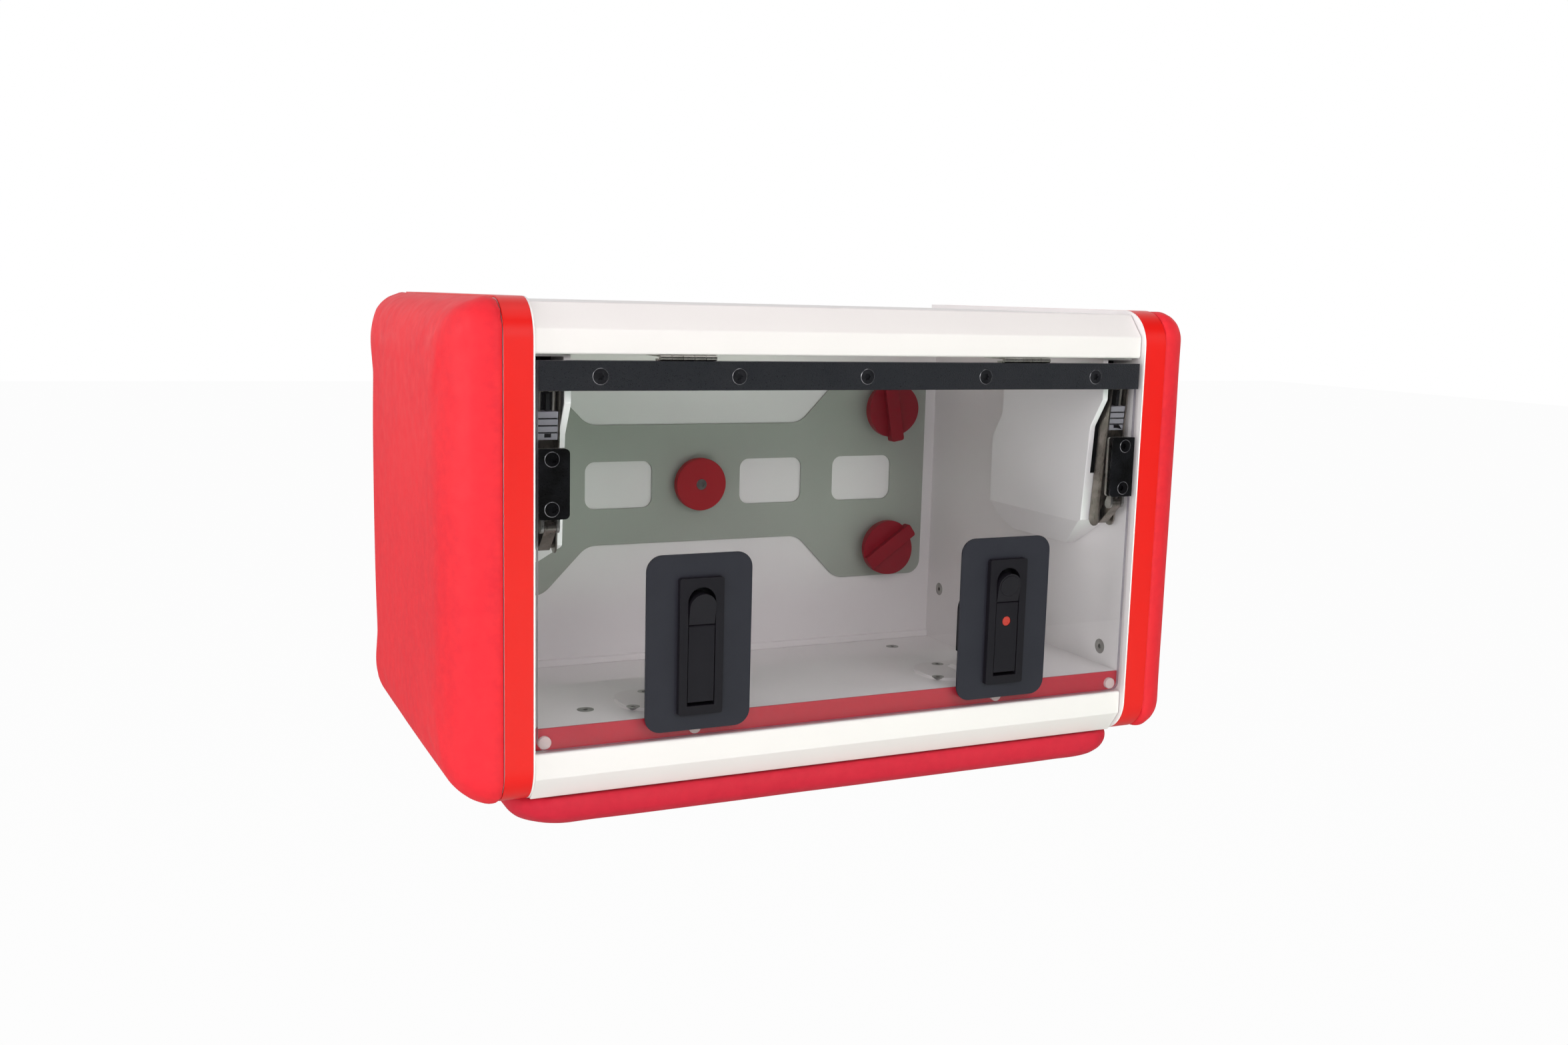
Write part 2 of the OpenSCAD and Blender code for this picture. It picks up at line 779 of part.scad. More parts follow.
module hinge_moving_leaves() {
    back = pane_back + back_strip_t;
    color(steel) for (x = [-hinge_x, hinge_x]) translate([x, 0, 0]) {
        difference() {
            union() {
                difference() {
                    union() {
                        block(-hinge_w / 2, hinge_w / 2, face_y + 0.4, back + leaf_t,
                            door_top, door_top + leaf_t);
                        block(-hinge_w / 2, hinge_w / 2, back, back + leaf_t,
                            door_top - moving_leaf_h, door_top + leaf_t / 2);
                    }
                    knuckle_room([0, 2, 4]);
                }
                knuckles([1, 3]);
            }
            pin_room();
        }
    }
}

module hinge_pins() {
    color(steel) for (x = [-hinge_x, hinge_x])
        rod_x(x - hinge_w / 2, x + hinge_w / 2, face_y, hinge_z, hinge_pin_d);
}

module door_bumpers() {
    color(clear_tint) {
        for (s = [-1, 1]) {
            z = door_bottom + bumper_d / 2 + 0.3;
            rod_y(pane_back, pane_back + bumper_h, s * (door_w / 2 - 7), z, bumper_d);
            rod_y(pane_back, pane_back + bumper_h, s * latch_x, z, bumper_d);
        }
    }
}

// Brackets where the lift arms hold the door
bracket_shank_d = 5;
bracket_screw_l = bracket_t + pane_t + clip_t;

module bracket_plates() {
    color(gloss_black) difference() {
        for (s = [-1, 1]) translate([s * bracket_x, 0, bracket_z])
            along_y(face_y - bracket_t, face_y) union() {
                rounded(bracket_w, bracket_h, 4);
                translate([s * bracket_w / 4, 0]) square([bracket_w / 2, bracket_h], center = true);
            }
        for (s = [-1, 1], z = bracket_screw_z)
            translate([s * bracket_x, face_y - bracket_t, z]) rotate([90, 0, 0])
                screw_hole(bracket_head_d, bracket_t, bracket_shank_d, bracket_screw_l);
    }
}

module bracket_screws() {
    color(steel) for (s = [-1, 1], z = bracket_screw_z)
        translate([s * bracket_x, face_y - bracket_t, z]) rotate([90, 0, 0])
            screw(bracket_head_d, bracket_t, bracket_shank_d, bracket_screw_l, 6);
}

module bracket_clip() {
    ear_r = door_pivot_y - pane_t - run;
    foot = bracket_z - bracket_h / 2;
    difference() {
        translate([bracket_x, 0, bracket_z]) along_y(pane_back, pane_back + clip_t)
            rounded(bracket_w, bracket_h, 3);
        for (z = bracket_screw_z)
            rod_y(pane_back - skim, pane_back + clip_t + skim, bracket_x, z, bracket_shank_d + 2 * fit);
    }
    for (s = [-1, 1]) {
        x0 = lift_x + s * (link_w / 2 + run + link_ear_t / 2);
        along_x(x0 - link_ear_t / 2, x0 + link_ear_t / 2) {
            translate(door_pivot) circle(ear_r);
            polygon([[door_pivot[0] - ear_r, door_pivot[1]], [door_pivot[0] - ear_r, foot + 7],
                [pane_back + clip_t, foot + 7], [door_pivot[0] + ear_r, door_pivot[1]]]);
        }
    }
    rod_x(lift_x - link_w / 2 - run - link_ear_t / 2, lift_x + link_w / 2 + run + link_ear_t / 2,
        door_pivot[0], door_pivot[1], link_pin_d);
}

module bracket_clips() { color(steel) both() bracket_clip(); }

// Lift arm, drawn hanging from its pivot and then tipped
module on_arm() {
    translate([lift_x, arm_pivot[0], arm_pivot[1]]) rotate([arm_tilt, 0, 0]) children();
}

module lift_arm() {
    on_arm() {
        difference() {
            union() {
                for (s = [-1, 1]) {
                    x0 = s * (arm_w - arm_wall) / 2;
                    along_x(x0 - arm_wall / 2, x0 + arm_wall / 2) {
                        translate([-arm_d / 2, -arm_l]) square([arm_d, arm_l]);
                        circle(arm_d / 2);
                        translate([0, -arm_l]) circle(arm_d / 2);
                    }
                }
                block(-arm_w / 2, arm_w / 2, arm_d / 2 - arm_wall, arm_d / 2, -arm_l, -arm_d);
            }
            rod_x(-arm_w, arm_w, 0, 0, pivot_d + 2 * fit);
        }
        rod_x(-arm_w / 2 + arm_wall / 2, arm_w / 2 - arm_wall / 2, 0, -arm_l, link_pin_d);
        rod_x(-arm_w / 2 + arm_wall / 2, arm_w / 2 - arm_wall / 2, 0, spring_z, spring_rod_d);
    }
}

spring_rod_d = 2.4;
spring_z = -10;
slider_z = [-49, -26];
spring_d = 3.2;

module left_lift_arm() { color(steel) mirror([1, 0, 0]) lift_arm(); }
module right_lift_arm() { color(steel) lift_arm(); }

module arm_slider() {
    inside = arm_w / 2 - arm_wall - 0.3;
    front = -arm_d / 2 + 0.5;
    back = arm_d / 2 - arm_wall - 0.3;
    ribs = 4;
    step = (slider_z[1] - slider_z[0]) / ribs;
    on_arm() difference() {
        block(-inside, inside, front, back, slider_z[0], slider_z[1]);
        for (i = [1 : ribs - 1])
            block(-inside - skim, inside + skim, front - skim, front + 1,
                slider_z[0] + i * step - 0.6, slider_z[0] + i * step + 0.6);
        block(-2.8, 2.8, front - skim, front + 1.5, slider_z[0] + 1.8, slider_z[0] + 5);
    }
}

module left_arm_slider() { color("#B4B7B6") mirror([1, 0, 0]) arm_slider(); }
module right_arm_slider() { color("#B4B7B6") arm_slider(); }

module arm_springs() {
    on_arm() for (s = [-1, 1]) difference() {
        translate([s * 6, 0, slider_z[1]])
            cylinder(h = spring_z + spring_rod_d / 2 + 0.8 - slider_z[1], d = spring_d);
        rod_x(-arm_w, arm_w, 0, spring_z, spring_rod_d + 2 * fit);
    }
}

module left_arm_springs() { color(steel) mirror([1, 0, 0]) arm_springs(); }
module right_arm_springs() { color(steel) arm_springs(); }

module lift_link() {
    translate([lift_x, arm_end[0], arm_end[1]]) rotate([link_tip, 0, 0]) difference() {
        along_x(-link_w / 2, link_w / 2) {
            circle(link_d / 2);
            translate([0, link_l]) circle(link_d / 2);
            translate([-link_d / 2, 0]) square([link_d, link_l]);
        }
        rod_x(-link_w, link_w, 0, 0, link_pin_d + 2 * fit);
        rod_x(-link_w, link_w, 0, link_l, link_pin_d + 2 * run);
    }
}

module left_lift_link() { color(steel) mirror([1, 0, 0]) lift_link(); }
module right_lift_link() { color(steel) lift_link(); }

module lift_unit() {
    y = [face_y + unit_y[0], face_y + unit_y[1]];
    z = [hinge_z + unit_z[0], hinge_z + unit_z[1]];
    ear_r = arm_d / 2;
    block(half_w - unit_plate_t, half_w, y[0] - 8, y[1], z[0], z[1]);
    block(half_w - housing_w + unit_side_gap, half_w - unit_plate_t, y[0], y[1] - 6, z[0] + 8, z[1]);
    difference() {
        along_x(lift_x - ear_w / 2, lift_x + ear_w / 2) {
            translate(arm_pivot) circle(ear_r);
            polygon([arm_pivot + [0, ear_r], [y[0] + skim, z[1] - 2], [y[0] + skim, arm_pivot[1] - 2],
                arm_pivot + [0, -ear_r]]);
        }
        rod_x(0, half_w, arm_pivot[0], arm_pivot[1], pivot_d + 2 * fit);
    }
}

module left_lift_unit() { color("#3A3B3D") mirror([1, 0, 0]) lift_unit(); }
module right_lift_unit() { color("#3A3B3D") lift_unit(); }

module lift_pivot_pins() {
    color(steel) both()
        rod_x(lift_x - arm_w / 2 - 0.5, lift_x + arm_w / 2 + 0.5, arm_pivot[0], arm_pivot[1], pivot_d);
}

// Solid form of the housing, or of its hollow when it is made smaller by a wall
module housing_form(wall, open_side) {
    low = min([for (p = housing_points) p[1]]);
    high = max([for (p = housing_points) p[1]]);
    front_points = [
        [half_w - housing_w + wall, high], [half_w + open_side, high],
        [half_w + open_side, low], [half_w - housing_w + housing_toe + wall, low],
        [half_w - housing_w + wall, low + housing_toe_h]
    ];
    intersection() {
        translate([0, face_y, hinge_z]) along_x(half_w - housing_w - skim, half_w + open_side)
            polygon(wall > 0 ? inset(housing_points, wall) : housing_points);
        translate([0, 0, hinge_z]) along_y(face_y, face_y + 220) polygon(front_points);
    }
}

module lift_housing() {
    top = hinge_z + housing_points[0][1];
    difference() {
        housing_form(0, 0);
        housing_form(housing_wall, skim);
        block(half_w - housing_w + unit_side_gap, half_w + skim, face_y, face_y + unit_y[0],
            hinge_z + housing_slot_z, top - housing_wall);
    }
}

module left_lift_housing() { color(paint_white) mirror([1, 0, 0]) lift_housing(); }
module right_lift_housing() { color(paint_white) lift_housing(); }

// Latch plates, bodies, handles and cams
module latch_plates() {
    color(plate_blue) difference() {
        for (s = [-1, 1]) translate([s * latch_x, 0, door_bottom + latch_plate_z])
            along_y(body_y, face_y) rounded(latch_plate_w, latch_plate_h, latch_plate_r);
        for (s = [-1, 1]) translate([s * latch_x, 0, 0]) tub(fit, skim);
    }
}

// The part of a latch body that passes through the plate and the sheet
module tub(gap, more) {
    translate([0, 0, body_z]) along_y(body_y - more, tub_back + more)
        square([recess_w + 2 * tub_wall + 2 * gap, recess_h + 2 * tub_wall + 2 * gap], center = true);
}

module recess_outline() {
    r = recess_w / 2;
    translate([0, recess_h / 2 - r]) circle(r);
    translate([-r, -recess_h / 2]) square([recess_w, recess_h - r]);
}

module boss_outline() {
    r = boss_w / 2;
    translate([0, boss_top - r]) circle(r);
    translate([-r, boss_bottom]) square([boss_w, boss_h - r]);
}

// Everything behind the boss's face, which leans out towards its top
module behind_boss(proud, back) {
    lean = (handle_y - body_face + boss_proud) / boss_h;
    low = boss_bottom - skim;
    along_x(-recess_w, recess_w) polygon([
        [handle_y - proud + lean * skim, low], [back, low], [back, boss_top + skim],
        [body_face - boss_proud - proud - lean * skim, boss_top + skim]]);
}

module latch_body() {
    difference() {
        union() {
            translate([0, 0, body_z]) along_y(body_face, body_y) rounded(latch_w, latch_h, 2);
            tub(0, 0);
        }
        translate([0, 0, body_z]) along_y(body_face - skim, recess_floor) recess_outline();
        rod_x(-recess_w / 2 - 3, recess_w / 2 + 3, handle_axis[0], handle_axis[1],
            handle_pin_d + 2 * fit);
    }
    intersection() {
        along_y(body_face - boss_proud, recess_floor + 1) boss_outline();
        behind_boss(0, tub_back);
    }
}

module left_latch_body() { color(latch_black) translate([-latch_x, 0, 0]) latch_body(); }

module right_latch_body() {
    color(latch_black) translate([latch_x, 0, 0]) difference() {
        latch_body();
        rod_y(body_face - boss_proud - skim, recess_floor - 3, 0, button_z, button_d + 2 * fit);
    }
}

module right_button() {
    back = recess_floor - 3 - button_travel - 0.5;
    color(latch_black) translate([latch_x, 0, 0]) intersection() {
        rod_y(body_face - boss_proud - button_proud - skim, back, 0, button_z, button_d);
        behind_boss(button_proud, back + skim);
    }
}

module handle() {
    difference() {
        union() {
            along_x(-boss_w / 2, boss_w / 2) {
                translate(handle_axis) circle(handle_top - handle_axis[1]);
                translate([handle_axis[0], handle_bottom])
                    square([handle_y + handle_t - handle_axis[0], handle_top - handle_bottom]);
                translate([handle_y, handle_bottom]) square([handle_t, handle_axis[1] - handle_bottom]);
            }
            rod_x(-recess_w / 2 - 2.5, recess_w / 2 + 2.5, handle_axis[0], handle_axis[1],
                handle_pin_d);
        }
        along_x(-recess_w, recess_w) polygon([
            [handle_y + handle_t - 3, handle_bottom - skim],
            [handle_y + handle_t + skim, handle_bottom - skim],
            [handle_y + handle_t + skim, handle_bottom + 6]]);
    }
}

module left_handle() { color(latch_black) translate([-latch_x, 0, 0]) handle(); }

module right_handle() {
    color(latch_black) translate([latch_x, 0, 0]) difference() {
        handle();
        rod_y(handle_y - skim, handle_y + 2, 0, dot_z, dot_d + 2 * fit);
    }
}

module handle_indicator() {
    color("#C8452F") rod_y(handle_y + 0.6, handle_y + 2, latch_x, dot_z, dot_d);
}

module latch_gearboxes() {
    color(latch_black) for (s = [-1, 1]) translate([s * latch_x, 0, 0]) difference() {
        union() {
            rod_y(tub_back, gearbox_back, 0, cam_z, gearbox_d);
            block(-20, 20, pane_back, tub_back + 2, body_z - 20, body_z + 20);
        }
        rod_y(gearbox_back - 12, gearbox_back + skim, 0, cam_z, cam_pin_d + 2 * fit);
        tub(fit, 0);
    }
}

module cam() {
    r = cam_w / 2;
    translate([0, 0, cam_z]) along_y(cam_y, cam_y + cam_t) {
        circle(r);
        polygon([[-r, 0], [r, 0], [r, -cam_reach + 3], [r - 4, -cam_reach], [-r, -cam_reach + 8]]);
    }
    rod_y(gearbox_back - 11.5, cam_y + 1, 0, cam_z, cam_pin_d);
    rod_y(cam_y + cam_t, cam_y + cam_t + 4, 0, cam_z, 14);
}

module left_cam() { color(latch_black) translate([-latch_x, 0, 0]) cam(); }
module right_cam() { color(latch_black) translate([latch_x, 0, 0]) cam(); }

// Mounting plate, its disc and its knobs
function knob_places() = [for (z = [-1, 1], x = [-1, 1]) [pattern_x + x * knob_x, plate_z + z * knob_z]];

module plate_outline() {
    top = plate_z + plate_h / 2;
    low = plate_z - plate_h / 2;
    waist_top = plate_z + plate_waist / 2;
    waist_low = plate_z - plate_waist / 2;
    points = [
        [plate_x0, low], [plate_x0, top], [pattern_x - notch_out, top],
        [pattern_x - notch_in, waist_top], [pattern_x + notch_in, waist_top],
        [pattern_x + notch_out, top], [plate_x1, top], [plate_x1, low],
        [pattern_x + notch_out, low], [pattern_x + notch_in, waist_low],
        [pattern_x - notch_in, waist_low], [pattern_x - notch_out, low]
    ];
    c = plate_corner;
    n = notch_round;
    polygon(round_off(points, [c, c, n, n, n, n, c, c, n, n, n, n]));
}

module mounting_plate() {
    color(plate_grey) difference() {
        along_y(plate_y, back_y) plate_outline();
        for (x = [-window_out, -window_in, window_in, window_out])
            translate([pattern_x + x, 0, plate_z]) along_y(plate_y - skim, back_y + skim)
                rounded(window_w, window_h, window_r);
        for (p = knob_places()) rod_y(plate_y - skim, back_y + skim, p[0], p[1], stud_d + 2 * fit);
        rod_y(plate_y - skim, back_y + skim, pattern_x, plate_z, strip_shank_d + 2 * fit);
    }
}

module center_disc() {
    color(knob_red) difference() {
        union() {
            rod_y(disc_y, disc_y + disc_t, pattern_x, plate_z, disc_d);
            rod_y(disc_y + disc_t - skim, plate_y, pattern_x, plate_z, disc_hub_d);
        }
        translate([pattern_x, disc_y, plate_z]) rotate([90, 0, 0])
            screw_hole(strip_head_d, strip_t, strip_shank_d, disc_screw_l);
    }
}

module disc_screw() {
    color(steel) translate([pattern_x, disc_y, plate_z]) rotate([90, 0, 0])
        screw(strip_head_d, strip_t, strip_shank_d, disc_screw_l, 6.5);
}

// A knob at place i, with its grip bar turned from upright and a scoop at each side of the bar
module knob(i, turn) {
    front = knob_y - knob_hub_l - knob_t;
    r = knob_d / 2;
    color(knob_red) translate([knob_places()[i][0], 0, knob_places()[i][1]]) {
        rod_y(front + knob_t - skim, knob_y, 0, 0, knob_hub_d);
        rod_y(knob_y - skim, back_y + knob_hole - 0.5, 0, 0, stud_d);
        rotate([0, turn, 0]) difference() {
            union() {
                rod_y(front, front + knob_t, 0, 0, knob_d);
                along_y(front, front + knob_t) translate([0, (r + grip_over) / 2])
                    rounded(grip_w, r + grip_over, 3);
            }
            for (s = [-1, 1]) translate([0, 0, -r - skim]) linear_extrude(2 * (r + skim))
                polygon([[s * grip_w / 2, front - skim], [s * grip_w / 2, front + scoop_h],
                    [s * r, front], [s * (r + grip_over), front - skim]]);
        }
    }
}

module lower_left_knob() { knob(0, -55); }
module lower_right_knob() { knob(1, 55); }
module upper_left_knob() { knob(2, -170); }
module upper_right_knob() { knob(3, 170); }

left_side_panel();
right_side_panel();
left_edge_band();
right_edge_band();
left_side_pad();
right_side_pad();
bottom_pad();
top_front_rail();
bottom_front_rail();
roof_panel();
floor_panel();
back_panel();
sill_board();
sill_edging();
back_cove_strip();
mounting_plate();
center_disc();
disc_screw();
left_lift_unit();
right_lift_unit();
left_lift_housing();
right_lift_housing();
hinge_fixed_leaves();
hinge_pins();
panel_screws();
strike_plates();
strike_screws();
back_inserts();
lift_pivot_pins();
door_panel();
door_strip();
door_back_strip();
strip_screws();
hinge_moving_leaves();
bracket_plates();
bracket_screws();
bracket_clips();
latch_plates();
left_latch_body();
right_latch_body();
latch_gearboxes();
door_bumpers();
left_lift_arm();
right_lift_arm();
left_arm_slider();
right_arm_slider();
left_arm_springs();
right_arm_springs();
left_lift_link();
right_lift_link();
left_handle();
right_handle();
handle_indicator();
right_button();
left_cam();
right_cam();
upper_left_knob();
lower_left_knob();
upper_right_knob();
lower_right_knob();
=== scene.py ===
import json
import math

import bmesh
import bpy
from mathutils import Matrix, Vector, noise

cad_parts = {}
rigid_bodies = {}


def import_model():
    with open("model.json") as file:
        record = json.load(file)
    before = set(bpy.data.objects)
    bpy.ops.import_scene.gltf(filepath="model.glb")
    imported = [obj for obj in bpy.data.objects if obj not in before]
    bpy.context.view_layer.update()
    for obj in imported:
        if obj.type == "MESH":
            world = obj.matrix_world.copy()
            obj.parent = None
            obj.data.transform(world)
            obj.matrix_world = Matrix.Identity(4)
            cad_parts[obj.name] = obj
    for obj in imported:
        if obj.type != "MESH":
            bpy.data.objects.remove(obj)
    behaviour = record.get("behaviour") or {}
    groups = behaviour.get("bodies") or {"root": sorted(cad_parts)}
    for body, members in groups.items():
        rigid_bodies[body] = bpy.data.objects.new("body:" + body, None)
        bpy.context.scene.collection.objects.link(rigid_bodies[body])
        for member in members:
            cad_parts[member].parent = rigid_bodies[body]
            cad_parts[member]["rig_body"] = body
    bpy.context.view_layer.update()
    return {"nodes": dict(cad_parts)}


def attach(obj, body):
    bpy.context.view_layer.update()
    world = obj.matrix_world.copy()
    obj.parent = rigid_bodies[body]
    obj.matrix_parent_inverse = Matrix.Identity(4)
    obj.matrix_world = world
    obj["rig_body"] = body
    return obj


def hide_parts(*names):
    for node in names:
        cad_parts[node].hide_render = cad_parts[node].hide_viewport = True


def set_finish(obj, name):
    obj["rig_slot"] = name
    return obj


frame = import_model()
nodes = frame["nodes"]
scene = bpy.context.scene
print("stage: frame loaded", len(nodes), "nodes")

mm = 0.001


# Small helpers: colour, nodes, meshes

def linear(hexColour, alpha=1.0):
    # sRGB hex to the linear values that sockets take
    parts = [int(hexColour[i:i + 2], 16) / 255 for i in (1, 3, 5)]
    return tuple(c / 12.92 if c <= 0.04045 else ((c + 0.055) / 1.055) ** 2.4 for c in parts) + (alpha,)


def addNode(tree, kind, settings=None, links=None, **values):
    # one node with its settings, its socket values and its incoming links
    node = tree.nodes.new(kind)
    for key, value in (settings or {}).items():
        setattr(node, key, value)
    for key, value in values.items():
        node.inputs[key.replace("_", " ")].default_value = value
    for socket, source in (links or {}).items():
        tree.links.new(source, node.inputs[socket])
    return node


def newMaterial(name, hexColour, roughness, metallic=0.0, ior=1.5, **values):
    # Principled material; extra values are the shader's own sockets
    material = bpy.data.materials.new(name)
    material.use_nodes = True
    tree = material.node_tree
    shader = tree.nodes["Principled BSDF"]
    shader.inputs["Base Color"].default_value = linear(hexColour)
    shader.inputs["Roughness"].default_value = roughness
    shader.inputs["Metallic"].default_value = metallic
    if not metallic:
        shader.inputs["IOR"].default_value = ior
    for key, value in values.items():
        shader.inputs[key.replace("_", " ")].default_value = value
    return material, tree, shader


def objectPlace(tree):
    # object coordinates in metres, the same on every piece
    return addNode(tree, "ShaderNodeTexCoord").outputs["Object"]


def grain(tree, place, sizeMm, detail=3.0, rough=0.55):
    # noise whose cells are about sizeMm across
    return addNode(tree, "ShaderNodeTexNoise", None, {"Vector": place},
                   Scale=1 / (sizeMm * mm), Detail=detail, Roughness=rough)


def stretch(tree, source, low, high, outLow, outHigh):
    node = addNode(tree, "ShaderNodeMapRange", {"clamp": True}, {"Value": source},
                   From_Min=low, From_Max=high, To_Min=outLow, To_Max=outHigh)
    return node.outputs["Result"]


def tintMix(tree, factor, first, second):
    node = tree.nodes.new("ShaderNodeMix")
    node.data_type = "RGBA"
    tree.links.new(factor, node.inputs["Factor"])
    for name, value in (("A", first), ("B", second)):
        socket = [s for s in node.inputs if s.name == name and s.type == "RGBA"][0]
        if isinstance(value, str):
            socket.default_value = linear(value)
        else:
            tree.links.new(value, socket)
    return [s for s in node.outputs if s.type == "RGBA"][0]


def finishMesh(name, mesh, material, body, slotName=None, smoothAngle=32):
    # one piece from a mesh in metres, smooth except at its sharp edges
    work = bmesh.new()
    work.from_mesh(mesh)
    bmesh.ops.remove_doubles(work, verts=work.verts, dist=1e-6)
    bmesh.ops.recalc_face_normals(work, faces=work.faces)
    limit = math.radians(smoothAngle)
    for face in work.faces:
        face.smooth = True
    for edge in work.edges:
        edge.smooth = len(edge.link_faces) == 2 and edge.calc_face_angle(0) < limit
    work.to_mesh(mesh)
    work.free()
    piece = bpy.data.objects.new(name, mesh)
    scene.collection.objects.link(piece)
    mesh.materials.clear()
    mesh.materials.append(material)
    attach(piece, body)
    if slotName:
        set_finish(piece, slotName)
    return piece


def softenEdges(piece, widthMm, segments=2, angle=35):
    bevel = piece.modifiers.new("softEdge", "BEVEL")
    bevel.width = widthMm * mm
    bevel.segments = segments
    bevel.limit_method = "ANGLE"
    bevel.angle_limit = math.radians(angle)
    bevel.harden_normals = True
    bevel.use_clamp_overlap = True
    return piece


def filletLoop(points, radii, steps):
    # rounds the corners of a closed outline, in mm
    out = []
    count = len(points)
    for i, (point, radius) in enumerate(zip(points, radii)):
        here = Vector(point)
        before = (Vector(points[i - 1]) - here).normalized()
        after = (Vector(points[(i + 1) % count]) - here).normalized()
        half = before.angle(after) / 2
        centre = here + (before + after).normalized() * radius / math.sin(half)
        start = here + before * radius / math.tan(half) - centre
        end = here + after * radius / math.tan(half) - centre
        turn = start.angle(end)
        side = 1 if start.x * end.y - start.y * end.x > 0 else -1
        for k in range(steps + 1):
            a = side * turn * k / steps
            out.append(centre + Vector((start.x * math.cos(a) - start.y * math.sin(a),
                                        start.x * math.sin(a) + start.y * math.cos(a))))
    return out


def prism(name, loop, low, high, material, body, bevelMm, slotName, segments):
    # a solid extrusion along x of one outline in (y, z), with softened edges
    mesh = bpy.data.meshes.new(name)
    count = len(loop)
    verts = [(level * mm, p[0] * mm, p[1] * mm) for level in (low, high) for p in loop]
    faces = [list(range(count))[::-1], list(range(count, 2 * count))]
    faces += [[k, (k + 1) % count, count + (k + 1) % count, count + k] for k in range(count)]
    mesh.from_pydata(verts, [], faces)
    piece = finishMesh(name, mesh, material, body, slotName)
    softenEdges(piece, bevelMm, segments)
    return piece


def lathe(name, profile, centre, axis, material, body, slotName, count):
    # profile is [(radius, along)] in mm from centre, along the axis
    mesh = bpy.data.meshes.new(name)
    work = bmesh.new()
    turn = Vector((0, 0, 1)).rotation_difference(Vector(axis)).to_matrix().to_4x4()
    place = Matrix.Translation(Vector(centre) * mm) @ turn
    rings = []
    for radius, along in profile:
        rings.append([work.verts.new(place @ Vector((
            radius * mm * math.cos(2 * math.pi * k / count),
            radius * mm * math.sin(2 * math.pi * k / count), along * mm))) for k in range(count)])
    for lower, upper in zip(rings, rings[1:]):
        for k in range(count):
            after = (k + 1) % count
            work.faces.new([lower[k], lower[after], upper[after], upper[k]])
    work.to_mesh(mesh)
    work.free()
    return finishMesh(name, mesh, material, body, slotName)


def combine(name, pieces, riding):
    # joins pieces into one object that keeps their materials and the first one's slot
    bpy.context.view_layer.update()
    graph = bpy.context.evaluated_depsgraph_get()
    work = bmesh.new()
    materials = []
    for piece in pieces:
        evaluated = piece.evaluated_get(graph)
        mesh = bpy.data.meshes.new_from_object(evaluated)
        mesh.transform(piece.matrix_world)
        base = len(work.faces)
        work.from_mesh(mesh)
        work.faces.ensure_lookup_table()
        own = piece.data.materials[0]
        if own not in materials:
            materials.append(own)
        for face in work.faces[base:]:
            face.material_index = materials.index(own)
        bpy.data.meshes.remove(mesh)
    mesh = bpy.data.meshes.new(name)
    work.to_mesh(mesh)
    work.free()
    out = bpy.data.objects.new(name, mesh)
    scene.collection.objects.link(out)
    for material in materials:
        mesh.materials.append(material)
    slotName = pieces[0].get("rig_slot")
    for piece in pieces:
        bpy.data.objects.remove(piece)
    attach(out, riding)
    if slotName:
        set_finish(out, slotName)
    return out


def dress(material, *names):
    # gives CAD nodes that keep their shape a better material
    for name in names:
        mesh = nodes[name].data
        mesh.materials.clear()
        mesh.materials.append(material)


# Camera, stage and light

viewPoint = {
    "place": (-0.6032, -1.5276, 0.2118),   # metres, in the frame of the back inserts
    "yaw": 0.4364, "pitch": -0.1525, "roll": 0.0259,
    "lens": 33.607, "sensor": 36.0,
}


def makeCamera():
    yaw, pitch, roll = viewPoint["yaw"], viewPoint["pitch"], viewPoint["roll"]
    right = Vector((math.cos(yaw), -math.sin(yaw), 0))
    ahead = Vector((math.sin(yaw) * math.cos(pitch), math.cos(yaw) * math.cos(pitch), math.sin(pitch)))
    above = right.cross(ahead)
    side = right * math.cos(roll) + above * math.sin(roll)
    up = above * math.cos(roll) - right * math.sin(roll)
    data = bpy.data.cameras.new("camera")
    data.lens = viewPoint["lens"]
    data.sensor_width = viewPoint["sensor"]
    data.sensor_fit = "HORIZONTAL"
    camera = bpy.data.objects.new("camera", data)
    turn = Matrix((side, up, -ahead)).transposed().to_4x4()
    camera.matrix_world = Matrix.Translation(viewPoint["place"]) @ turn
    scene.collection.objects.link(camera)
    scene.camera = camera


stageLook = {
    "floorHeight": -0.75, "floorReach": 14.0, "floorFront": -2.85,   # metres
    "floorColour": "#b9b8b8", "floorRoughness": 0.9, "floorGlow": 0.97,
    "worldColour": "#ffffff", "frontStrength": 0.05, "backStrength": 0.8,
    "dimFrom": -0.15, "brightFrom": 0.6,   # of the view's own direction along Y
}

lights = [
    # name, place, aimed at, width and height in metres, power in watts, colour, seen in gloss
    ("topSoftbox", (-0.1, -0.7, 2.5), (0.0, -0.3, 0.0), (2.4, 1.8), 12.5, "#fffdfc", True),
    ("frontLeftSoftbox", (-1.9, -2.6, 0.9), (0.0, -0.3, 0.0), (1.8, 1.4), 16, "#fffcfa", True),
    ("frontFill", (0.3, -2.2, 0.85), (0.0, -0.1, -0.1), (1.6, 1.0), 20, "#fff9fb", False),
    ("leftSoftbox", (-2.7, -0.5, 0.5), (-0.3, -0.2, 0.0), (1.6, 1.6), 40, "#ffffff", True),
    ("rightFill", (2.4, -1.7, 0.9), (0.2, -0.2, 0.0), (1.4, 1.4), 6, "#ffffff", True),
    ("greenFill", (0.75, -2.1, -0.42), (-0.14, 0.0, -0.04), (0.9, 0.5), 11, "#cdeed2", False),
    ("lowFill", (-0.8, -2.0, -0.5), (-0.1, -0.4, -0.18), (1.4, 0.6), 11, "#ffffff", False),
]


